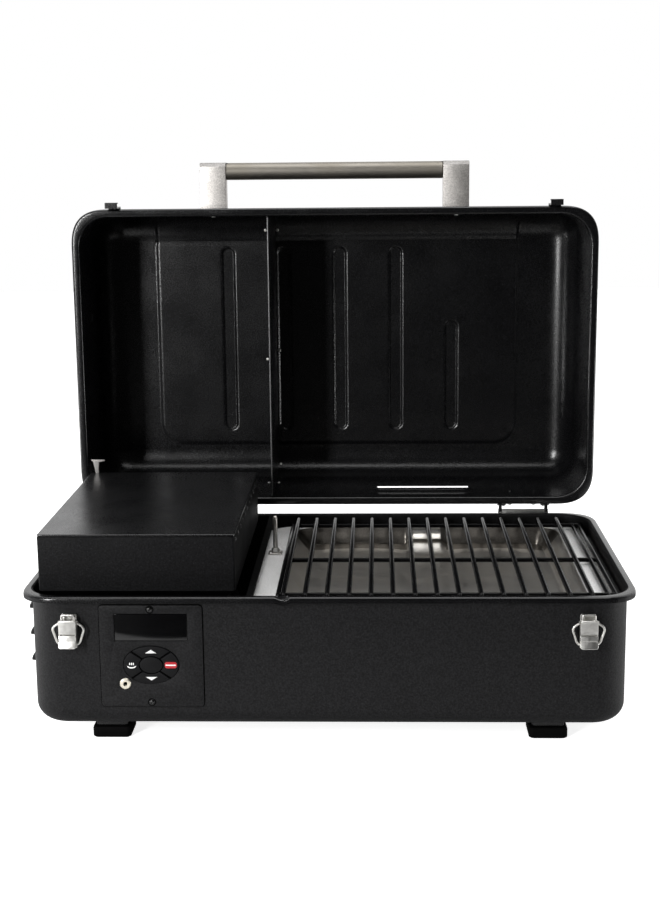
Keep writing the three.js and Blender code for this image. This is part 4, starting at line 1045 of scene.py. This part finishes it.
def make_tray():
    """The grease tray: a flanged pan whose floor runs to a crease, with a ramp between two humps at its back."""
    low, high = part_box("drip_tray")
    sheet = 1.2 * MM
    flange = high.z
    base = flange - 26 * MM
    centre_x, centre_y = (low.x + high.x) / 2 - 2 * MM, (low.y + high.y) / 2
    well_x, well_y = (high.x - low.x) / 2 - 27 * MM, (high.y - low.y) / 2 - 4 * MM
    corner = 30 * MM
    flat_x, flat_y = well_x - corner, well_y - corner
    section = [(0, 0, base)]
    side = bend(6 * MM, base + 7 * MM, 7 * MM, -90, -40, 5) + bend(28 * MM, flange - 3 * MM, 3 * MM, 140, 90, 5)
    end = bend(16 * MM, base + 6 * MM, 6 * MM, -90, -22, 5) + bend(28.6 * MM, flange - 2.4 * MM, 2.4 * MM, 158, 90, 5)
    section += [(across, along, (z + z2) / 2) for (across, z), (along, z2) in zip(side, end)]
    outer_x, outer_y = high.x - centre_x - flat_x, high.y - centre_y - flat_y
    section.append((outer_x - 1 * MM, outer_y - 1 * MM, flange))
    section.append((outer_x - 0.2 * MM, outer_y - 0.2 * MM, flange - 0.8 * MM))
    section.append((outer_x, outer_y, flange - 3 * MM))
    ramp_half = 21 * MM
    lines_x = graded(centre_x - flat_x, centre_x + flat_x, 6 * MM, [
        (centre_x - ramp_half - 6 * MM, centre_x - ramp_half + 6 * MM, 1.5 * MM),
        (centre_x + ramp_half - 6 * MM, centre_x + ramp_half + 6 * MM, 1.5 * MM),
    ])
    lines_y = graded(centre_y - flat_y, centre_y + flat_y, 6 * MM, [])
    crease = centre_y + 27 * MM
    back = centre_y + flat_y

    def relief(p):
        if p.z > base + 5 * MM:
            return 0.0
        u = (p.x - centre_x) / well_x
        fall = 0.035 * abs(p.y - crease)
        rise = max(0.0, (p.y - back + 16 * MM)) * 0.62
        in_ramp = ramp(abs(p.x - centre_x) - ramp_half, 10 * MM)
        hump = 5 * MM * max(0.0, math.sin(abs(u) * 3.3)) * ramp(back - 34 * MM - p.y, 46 * MM)
        edge = ramp(max(abs(u) - 0.86, 0) * 8 - 0.2, 0.8)
        return -(fall * edge + rise * in_ramp + hump * (1 - in_ramp) * edge)

    mesh = pressed_pan(lines_x, lines_y, section, relief, steps=16)
    mesh.flip_normals()
    mesh = thickened(mesh, sheet)
    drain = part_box("grease_spout")
    middle = (drain[0] + drain[1]) / 2
    place = Matrix.Translation((middle.x, middle.y, base - 15 * MM))
    hole = turned([(0, 0), (6 * MM, 0), (6 * MM, 30 * MM), (0, 0)], place)
    pan = piece("drip_pan", carved(mesh, smoothed(hole)), "stainless_polished", "grill_base", "drip_tray")
    # The flange's upward faces get the lighter steel: painted light from the top lamp, which the grate and walls keep
    # off the floor.
    second_finish(pan, "painted_light_flange_steel", lambda centre, normal: centre.z > flange - 1.5 * MM and normal.z > 0.8)

    # The back wall beside the ramp gets the dark steel: painted shade.
    def on_back_wall(centre, normal):
        beside = abs(centre.x - centre_x) > ramp_half + 3 * MM
        return beside and centre.y > back - 8 * MM and base + 4 * MM < centre.z < flange - 1.5 * MM

    second_finish(pan, "painted_shade_steel", on_back_wall)


def make_grate():
    low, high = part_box("cooking_grate")
    r = 2.8 * MM
    rods, pitch = 15, 22.8 * MM
    top = high.z - r
    under = top - 1.6 * r
    centre_y = (low.y + high.y) / 2
    reach = (high.y - low.y) / 2 - r
    first = low.x + r + 6 * MM
    bars = []
    for i in range(rods):
        x = first + pitch * i
        ends = []
        for sign in (-1, 1):
            ends.append([(x, centre_y + sign * reach, under - 3 * MM), (x, centre_y + sign * (reach - 1.5 * MM), top)])
        path = arc_path([ends[0][0], ends[0][1], ends[1][1], ends[1][0]], 6 * MM)
        bars.append(tube(path, r))
    left, right = low.x + r, high.x - r
    for y in (-148 * MM, -11 * MM, 148 * MM):
        bars.append(tube([(left, centre_y + y, under), (right, centre_y + y, under)], r * 0.92))
    for x in (left, right, right - 8 * MM):
        end = reach - 10 * MM
        bars.append(tube([(x, centre_y - end, under), (x, centre_y + end, under)], r * 0.92))
    piece("grate_rods", joined(*bars), "enamel", "grate", "cooking_grate")


def make_probe():
    low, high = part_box("temperature_probe")
    centre = (low + high) / 2
    foot = low.z
    stem = tube([(centre.x, centre.y, foot), (centre.x, centre.y, high.z)], 2.6 * MM, 20)
    piece("probe_stem", stem, "stainless", "grill_base", "temperature_probe")
    base = rounded_rect(low.x, high.x, low.y, high.y, 3 * MM, 5)
    place = axes(X_AXIS, Y_AXIS, Vector((0, 0, foot + 0.8 * MM)))
    piece("probe_bracket", plate([base], 1.5 * MM, 0.3 * MM, place), "stainless", "grill_base")
    nut = ellipse(centre.x, centre.y, 4.6 * MM, 4.6 * MM, steps=6)
    place = axes(X_AXIS, Y_AXIS, Vector((0, 0, foot + 4 * MM)))
    piece("probe_nut", plate([nut], 4.6 * MM, 0.3 * MM, place), "zinc", "grill_base")
    for name, dx, dy in (("a", -5.6, -5.4), ("b", 5.6, 5.4)):
        at = (centre.x + dx * MM, centre.y + dy * MM, foot + 1.6 * MM)
        screw(f"probe_screw_{name}", at, Z_AXIS, 1.7 * MM, "zinc", "grill_base")


# ---------------------------------------------------------------- latches

def make_latch(side):
    plate_low, plate_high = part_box(f"latch_base_{side}")
    lever_low, lever_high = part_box(f"latch_lever_{side}")
    x = (lever_low.x + lever_high.x) / 2
    joint = {j["name"]: Vector(j["pos_m"]) for j in frame["joints"] if j["name"].endswith(f"{side}_swing")}
    pivot, foot = joint[f"lever_{side}_swing"], joint[f"bail_{side}_swing"]

    back = rounded_rect(x - 8 * MM, x + 8 * MM, plate_low.z, plate_high.z, 2 * MM)
    meshes = [plate([back], 1.4 * MM, 0.3 * MM, facing_front(FRONT - 1 * MM))]
    root, end, under = FRONT - 0.6 * MM, FRONT - 5 * MM, plate_high.z - 1.3 * MM
    tongue = [(root, plate_high.z), (end + 1 * MM, plate_high.z), (end, plate_high.z - 0.5 * MM), (end, under), (root, under)]
    meshes.append(plate([tongue[::-1]], 12.4 * MM, 0.25 * MM, side_view(x)))
    for hand in (-1, 1):
        ear = ellipse(pivot.y, pivot.z, 3.4 * MM, 3.4 * MM, 90, 270, 12)
        ear += [(FRONT - 0.6 * MM, pivot.z - 5 * MM), (FRONT - 0.6 * MM, pivot.z + 1 * MM)]
        meshes.append(plate([ear], 1.4 * MM, 0.25 * MM, side_view(x + hand * 5.7 * MM)))
    meshes.append(tube([(x - 9.6 * MM, pivot.y, pivot.z), (x + 9.6 * MM, pivot.y, pivot.z)], 1.5 * MM))
    for hand in (-1, 1):
        pin_end = Matrix.Translation((x + hand * 9.4 * MM, pivot.y, pivot.z))
        pin_end = pin_end @ Matrix.Rotation(hand * math.pi / 2, 4, "Y")
        meshes.append(turned([(0, 0), (2.2 * MM, 0), (2.2 * MM, 0.6 * MM), (1.4 * MM, 1 * MM), (0, 0)], pin_end, 20))
    piece(f"latch_mount_{side}", joined(*meshes), "bright_nickel", "grill_base", f"latch_base_{side}")

    face_y = lever_low.y + 4.4 * MM
    top, grip = lever_high.z, lever_low.z + 6 * MM
    skin = 1.3 * MM
    half = (lever_high.x - lever_low.x) / 2
    front = [(face_y, top - 1.6 * MM), (face_y - 0.2 * MM, grip + 12 * MM), (face_y - 0.8 * MM, grip + 8 * MM)]
    rear = [(y + skin, z + skin * k) for (y, z), k in zip(front, (0.0, 0.1, 0.3))]
    slot_z = pivot.z - 11.5 * MM
    upper = [front[0], (face_y, slot_z + 0.8 * MM), (face_y + skin, slot_z + 0.8 * MM), rear[0]]
    lower = [(face_y, slot_z - 0.8 * MM)] + front[1:] + rear[:0:-1] + [(face_y + skin, slot_z - 0.8 * MM)]
    lip_face = axes(X_AXIS, Vector((0, 0.36, 1)).normalized(), Vector((x, face_y - 2 * MM, grip + 3.8 * MM)))
    lip = plate([rounded_rect(-half, half, -4 * MM, 4 * MM, 2.2 * MM)], skin, 0.4 * MM, lip_face)
    meshes = [plate([leaf], 2 * half, 0.35 * MM, side_view(x)) for leaf in (upper, lower)] + [lip]
    for hand in (-1, 1):
        cheek = [
            (face_y + 0.5 * MM, top), (pivot.y + 2.4 * MM, top - 1.5 * MM), (pivot.y + 2.6 * MM, pivot.z - 8 * MM),
            (foot.y + 2.6 * MM, foot.z - 2 * MM), (foot.y, foot.z - 3 * MM), (face_y + 0.5 * MM, foot.z - 1 * MM),
        ]
        meshes.append(plate([cheek], 1.3 * MM, 0.3 * MM, side_view(x + hand * (half - 0.7 * MM))))
    roll_ends = [(x + hand * (half - 0.6 * MM), face_y + 1 * MM, top - 0.9 * MM) for hand in (-1, 1)]
    meshes.append(tube(roll_ends, 1.3 * MM))
    piece(f"latch_handle_{side}", joined(*meshes), "bright_nickel", f"lever_{side}", f"latch_lever_{side}")

    bends = [(6.6, 0), (9.6, 0), (12, 2.4), (16.2, 15.4), (15, 19), (9.8, 22.4), (6.4, 24.6), (6.4, 31)]
    right = [Vector((x + dx * MM, foot.y, foot.z + dz * MM)) for dx, dz in bends]
    left = [Vector((2 * x - p.x, p.y, p.z)) for p in reversed(right)]
    wire = tube(arc_path(right + left, 2 * MM, 5), 1.2 * MM, 12)
    piece(f"latch_wire_{side}", wire, "bright_nickel", f"bail_{side}", f"latch_bail_{side}")


# ---------------------------------------------------------------- lid

PAD = {"half": 233 * MM, "rear": 129 * MM, "corner": 28 * MM, "edge": 4 * MM}
RIBS = [(-141, -129), (-69, -129), (4, -129), (76.5, -129), (149, -33)]  # x and front end, in mm
RIB = {"rear": 111 * MM, "half": 8.2 * MM, "edge": 3.8 * MM}
VENT = {"x0": 52 * MM, "x1": 168 * MM, "z0": 213.5 * MM, "z1": 226.5 * MM}
BEADS = (204 * MM, 184 * MM)  # stiffening beads below the smoke outlet, as heights with the lid shut


def pad_distance(x, y):
    """Signed distance to the raised panel's edge, which runs off the front of the lid."""
    r = PAD["corner"]
    dx = abs(x) - PAD["half"] + r
    dy = y - PAD["rear"] + r
    return math.hypot(max(dx, 0), max(dy, 0)) + min(max(dx, dy), 0) - r


def rib_distance(x, y):
    nearest = 1.0
    for rib_x, front in RIBS:
        low, high = front * MM + RIB["half"], RIB["rear"] - RIB["half"]
        nearest = min(nearest, math.hypot(x - rib_x * MM, y - min(max(y, low), high)) - RIB["half"])
    return nearest


def lid_relief(p):
    x, y = p.x, p.y - MID_Y
    if p.z > LID_TOP - LID_FILLET:
        fade = 1.0 if y > 0 else ramp(LID_TOP - 0.35 * LID_FILLET - p.z, 0.55 * LID_FILLET)
        pad = -fade * PAD_DEPTH * ramp(pad_distance(x, y), PAD["edge"])
        return pad + RIB_RISE * ramp(rib_distance(x, y), RIB["edge"])
    if y > HALF_Y - 6 * MM:
        across = max(VENT["x0"] - x, x - VENT["x1"])
        return -2.4 * MM * sum(ramp(math.hypot(max(across, 0), p.z - z) - 1 * MM, 4 * MM) for z in BEADS)
    return 0.0


def make_lid():
    flat_x, flat_y = HALF_X - WALL_CORNER, HALF_Y - WALL_CORNER
    section = [(0, LID_TOP)]
    section += bend(0, LID_TOP - LID_FILLET, LID_FILLET, 90, 0, 18)
    wall_top = LID_TOP - LID_FILLET
    heights = graded(LID_BOTTOM + 6 * MM, wall_top - 4 * MM, 12 * MM, [
        (BEADS[1] - 5 * MM, BEADS[1] + 5 * MM, 1.25 * MM), (BEADS[0] - 5 * MM, BEADS[0] + 5 * MM, 1.25 * MM),
        (VENT["z0"], VENT["z1"], 13 * MM),
    ])
    for z in reversed(heights):
        slope = (wall_top - z) / (wall_top - LID_BOTTOM)
        section.append((LID_FILLET + LID_DRAFT * slope, z))
    section += rim_section(WALL_CORNER, LID_BOTTOM, 1)
    beyond, within = PAD["half"] + 4 * MM, PAD["half"] - 30 * MM
    spans_x = [(-beyond, -within, 1.6 * MM), (within, beyond, 1.6 * MM)]
    spans_y = []
    for x, front in RIBS:
        spans_x += [(x * MM - 11 * MM, x * MM + 11 * MM, 0.9 * MM)]
    fronts = sorted({front for _, front in RIBS})
    for y in [front * MM for front in fronts] + [RIB["rear"] - 10 * MM]:
        spans_y += [(y - 3 * MM, y + 13 * MM, 0.9 * MM)]
    spans_y += [(PAD["rear"] - 28 * MM, PAD["rear"] + 3 * MM, 1.6 * MM)]
    edges_x = [(VENT["x0"], VENT["x0"] + 2 * MM, 2 * MM), (VENT["x1"], VENT["x1"] + 2 * MM, 2 * MM)]
    lines_x = graded(-flat_x, flat_x, 10 * MM, spans_x + edges_x)
    lines_y = [y + MID_Y for y in graded(-flat_y, flat_y, 10 * MM, spans_y)]

    def is_outlet(p):
        behind = p.y > REAR - 8 * MM
        return behind and VENT["x0"] < p.x < VENT["x1"] and VENT["z0"] < p.z < VENT["z1"]

    mesh = thickened(pressed_pan(lines_x, lines_y, even(section), lid_relief, is_outlet), SHEET)
    square_corners(mesh)
    mesh.transform(OPEN)
    lid = piece("lid_pressing", mesh, "lid_coat", "lid", "lid_shell")
    rim_y = HINGE.y - (HINGE.z - LID_BOTTOM)
    middle = Vector((0, rim_y, HINGE.z - (MID_Y - HINGE.y)))

    def on_lid_rim(centre, _):
        beside = abs(centre.x) > HALF_X or abs(centre.z - middle.z) > HALF_Y
        return beside and centre.y < rim_y + RIM_FACE + 2 * MM

    def is_outer(centre, normal):
        return centre.y > rim_y + RIM_FACE + 2 * MM and normal.dot(centre - middle) > 0

    # The lid's rim gets the darker rim coat: painted shade.
    second_finish(lid, "rim_painted_shade_coat", on_lid_rim)
    second_finish(lid, "black_coat", is_outer)


def lid_wall(height):
    """How far inside the tub's wall line the lid's inner face stands, at this height with the lid shut."""
    return SHEET + LID_DRAFT * (height - LID_BOTTOM) / (LID_TOP - LID_FILLET - LID_BOTTOM)


def lid_ceiling(x, y):
    """A point of the shut lid's inner face beside the divider, and the way that the face looks."""
    across = y - MID_Y
    past = min(max(abs(across) - (HALF_Y - WALL_CORNER), 0), LID_FILLET)
    rise = math.sqrt(LID_FILLET**2 - past**2)
    inward = Vector((0, -math.copysign(past, across), -rise)).normalized()
    skin = SHEET + (PAD_DEPTH if across < PAD["rear"] else 0)
    return Vector((x, y, LID_TOP - LID_FILLET + rise)) + inward * skin, inward


def make_lid_fittings():
    refine("lid_divider", "satin_black", 0.25 * MM)
    low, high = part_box("lid_divider")
    x = (low.x + high.x) / 2
    # A thin grey strip on the divider's front edge: a painted highlight where the edge catches the key light.
    hem_low = (x - 0.8 * MM, low.y - 0.3 * MM, low.z + 2 * MM)
    hem = block(hem_low, (x + 0.8 * MM, low.y + 1 * MM, high.z - 1 * MM), 0.35 * MM)
    piece("divider_edge_highlight", hem, "painted_highlight_grey", "lid")
    places = [(-11.5, -153), (3.4, -153), (-11.5, 17), (3.4, 5), (3.4, 158)]
    for i, (dx, y) in enumerate(places, 1):
        at, inward = lid_ceiling(x + dx * MM, MID_Y + y * MM)
        screw(f"divider_screw_{i}", at, inward, 2.4 * MM, "bright_nickel", "lid", place=OPEN)
    height = HINGE.z + 66 * MM
    for i, dx in enumerate((-9, 3.4), len(places) + 1):
        at = (x + dx * MM, REAR - lid_wall(height), height)
        screw(f"divider_screw_{i}", at, -Y_AXIS, 2.2 * MM, "bright_nickel", "lid", place=OPEN)
    for side in ("left", "right"):
        refine(f"latch_keeper_{side}", "satin_black")
        post = sum(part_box(f"handle_post_{side}"), Vector()) / 2
        keeper_low, keeper_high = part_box(f"latch_keeper_{side}")
        y = post.y - 12 * MM
        ceiling = HINGE.z - (FRONT + lid_wall(HINGE.z + y - HINGE.y) - HINGE.y)
        screw(f"handle_nut_{side}", (post.x, y, ceiling), -Z_AXIS, 3 * MM, "zinc", "lid")
        outside = HINGE.z - (FRONT - HINGE.y)
        for name, dx in (("a", -4), ("b", 4)):
            at = ((keeper_low.x + keeper_high.x) / 2 + dx * MM, keeper_high.y - 9 * MM, outside + 2 * MM)
            rivet(f"keeper_rivet_{side}_{name}", at, Z_AXIS, 2 * MM, "satin_black", "lid")
    wall = -HALF_X + lid_wall(HINGE.z + 45 * MM)
    clip_low = Vector((wall - 0.5 * MM, HINGE.y + 38 * MM, HINGE.z + 228 * MM))
    shelf = block(clip_low, clip_low + Vector((3 * MM, 14 * MM, 10 * MM)), 0.6 * MM)
    piece("lid_side_clip", shelf, "satin_black", "lid")


def make_handle():
    base = HINGE.z - (FRONT - HINGE.y)
    spacer, chamfer = 4.5 * MM, 4.5 * MM
    for side in ("left", "right"):
        low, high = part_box(f"handle_post_{side}")
        end = [
            (low.y + 0.6 * MM, base + spacer), (low.y, base + spacer + 0.6 * MM), (low.y, high.z - chamfer),
            (low.y + 2.4 * MM, high.z - 0.8 * MM), (low.y + 4 * MM, high.z), (high.y - 2.5 * MM, high.z),
            (high.y - 0.6 * MM, high.z - 1 * MM), (high.y, high.z - 3 * MM), (high.y, base + spacer),
        ]
        middle = (low.x + high.x) / 2
        post = plate([end[::-1]], high.x - low.x, 0.5 * MM, side_view(middle))
        post = piece(f"post_{side}", post, "post_metal", "lid", f"handle_post_{side}", crease=20)
        # The posts' upward faces get the darker metal: painted shade.
        second_finish(post, "dark_metal_and_painted_shade", lambda centre, normal: normal.z > 0.2)
        inset = 0.9 * MM
        foot_low = (low.x + inset, low.y + inset, base + 0.2 * MM)
        foot = block(foot_low, (high.x - inset, high.y - inset, base + spacer), 0.4 * MM)
        piece(f"post_spacer_{side}", foot, "dark_metal_and_painted_shade", "lid")
    low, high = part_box("handle_bar")
    radius = (high.z - low.z) / 2
    length = high.x - low.x
    place = axes(Y_AXIS, Z_AXIS, Vector((low.x, (low.y + high.y) / 2, (low.z + high.z) / 2)))
    bevel = 0.8 * MM
    profile = [
        (0, 0), (radius - bevel, 0), (radius, bevel), (radius, length / 2), (radius, length - bevel),
        (radius - bevel, length), (0, length),
    ]
    piece("grip_bar", turned(profile, place, 96), "bar_stainless", "lid", "handle_bar")
    for name, end in (("left", low.x + 1 * MM), ("right", high.x - 1 * MM)):
        tip = (end, (low.y + high.y) / 2 - 3 * MM, high.z - 0.6 * MM)
        rivet(f"bar_pin_{name}", tip, Z_AXIS, 1.3 * MM, "black_screw", "lid")


# ---------------------------------------------------------------- inner works

def finish_inner_works():
    inside = {
        "divider_wall": "satin_black", "divider_seal": "rubber", "finger_screen": "steel", "auger_tube": "steel",
        "auger_screw": "steel", "auger_motor": "steel", "fire_pot": "cast_iron", "igniter_rod": "stainless",
        "heat_baffle": "steel", "fan_housing": "black_plastic", "fan_impeller": "black_plastic",
        "fan_motor": "steel", "grease_spout": "stainless", "tray_rail": "satin_black",
        "controller_board": "black_plastic",
    }
    for node, finish in inside.items():
        refine(node, finish, 0.2 * MM)


make_tub()
for number, top in enumerate(LOUVRE_TOPS, 1):
    make_louvre(number, top)
make_feet()
make_rear_fittings()
make_panel()
make_hopper()
make_tray()
make_grate()
make_probe()
for side in ("left", "right"):
    make_latch(side)
make_lid()
make_lid_fittings()
make_handle()
finish_inner_works()


# ---------------------------------------------------------------- studio

def make_floor():
    """White paper. What mirrors it sees it end a little way in front of the grill."""
    half, back = 5.0, 5.0
    mesh = new_mesh([(-half, -half, 0), (half, -half, 0), (half, back, 0), (-half, back, 0)], [(0, 1, 2, 3)])
    s = Shader("floor_paper")
    fibre = s.noise(2 * MM, 3)
    y = s.node("ShaderNodeSeparateXYZ", {"Vector": s.place}).outputs["Y"]
    edge = FRONT - 0.335
    near = s.remap(y, edge - 0.005, edge + 0.005, 0, 1)
    white = s.mix(fibre, (0.84, 0.84, 0.84), (0.88, 0.88, 0.88))
    seen = s.node("ShaderNodeLightPath").outputs["Is Camera Ray"]
    shown = s.math("MAXIMUM", near, seen)
    paper = s.node("ShaderNodeMix", {0: shown, 6: (0.02, 0.02, 0.02, 1)}, data_type="RGBA")
    s.tree.links.new(white, paper.inputs[7])
    s.set(Base_Color=paper.outputs[2], Roughness=0.8, Specular_IOR_Level=0.1)
    s.set(Emission_Color=(1, 1, 1, 1), Emission_Strength=s.math("MULTIPLY", seen, 0.82))
    mesh.materials.append(s.material)
    floor = bpy.data.objects.new("floor", mesh)
    bpy.context.scene.collection.objects.link(floor)


def make_world():
    """White paper behind the grill, and a dim room in front of it."""
    world = bpy.data.worlds.new("studio")
    bpy.context.scene.world = world
    world.use_nodes = True
    tree = world.node_tree
    tree.nodes.clear()

    def node(kind, **settings):
        made = tree.nodes.new(kind)
        for key, value in settings.items():
            setattr(made, key, value)
        return made

    direction = node("ShaderNodeTexCoord")
    parts = node("ShaderNodeSeparateXYZ")
    tree.links.new(direction.outputs["Generated"], parts.inputs[0])
    level = node("ShaderNodeMapRange", interpolation_type="SMOOTHSTEP")
    tree.links.new(parts.outputs["Y"], level.inputs["Value"])
    for key, value in (("From Min", -0.1), ("From Max", 0.2), ("To Min", 0.03), ("To Max", 1.1)):
        level.inputs[key].default_value = value
    room = node("ShaderNodeBackground")
    tree.links.new(level.outputs[0], room.inputs["Strength"])
    paper = node("ShaderNodeBackground")
    paper.inputs["Strength"].default_value = 1.0
    for background in (room, paper):
        background.inputs["Color"].default_value = (1, 1, 1, 1)
    rays = node("ShaderNodeLightPath")
    choose = node("ShaderNodeMixShader")
    tree.links.new(rays.outputs["Is Camera Ray"], choose.inputs[0])
    tree.links.new(room.outputs[0], choose.inputs[1])
    tree.links.new(paper.outputs[0], choose.inputs[2])
    out = node("ShaderNodeOutputWorld")
    tree.links.new(choose.outputs[0], out.inputs["Surface"])


def softbox(name, at, aim, width, height, power):
    light = bpy.data.lights.new(name, "AREA")
    light.shape = "RECTANGLE"
    light.size, light.size_y = width, height
    light.energy = power
    obj = bpy.data.objects.new(name, light)
    obj.location = at
    obj.rotation_mode = "QUATERNION"
    obj.rotation_quaternion = (Vector(aim) - Vector(at)).to_track_quat("-Z", "Y")
    bpy.context.scene.collection.objects.link(obj)
    return obj


def make_lights():
    softbox("key", (-1.45, -2.3, 1.0), (0.15, 0.1, 0.35), 0.3, 1.5, 75)
    softbox("top", (0.0, -0.1, 1.9), (0.0, 0.0, 0.0), 1.6, 1.0, 20)
    softbox("left_strip", (-1.4, -0.2, 0.1), (0.0, -0.2, 0.1), 0.5, 0.16, 4.2)
    softbox("right_strip", (1.4, -0.2, 0.1), (0.0, -0.2, 0.1), 0.5, 0.16, 4.2)


def make_camera():
    """The camera stands in front, a little to the right, and looks down on the grill."""
    at = Vector((53.0 * MM, MID_Y - 1658.3 * MM, 612.2 * MM))
    pitch, yaw, roll = math.radians(-11.25), math.radians(1.87), math.radians(-0.55)
    data = bpy.data.cameras.new("camera")
    data.sensor_width = 36
    data.lens = 60.16
    data.clip_start, data.clip_end = 0.05, 50
    camera = bpy.data.objects.new("camera", data)
    turn = Matrix.Rotation(yaw, 4, "Z") @ Matrix.Rotation(math.pi / 2 + pitch, 4, "X") @ Matrix.Rotation(roll, 4, "Z")
    camera.matrix_world = Matrix.Translation(at) @ turn
    bpy.context.scene.collection.objects.link(camera)
    bpy.context.scene.camera = camera


make_floor()
make_world()
make_lights()
make_camera()
bpy.context.scene.view_settings.view_transform = "Standard"
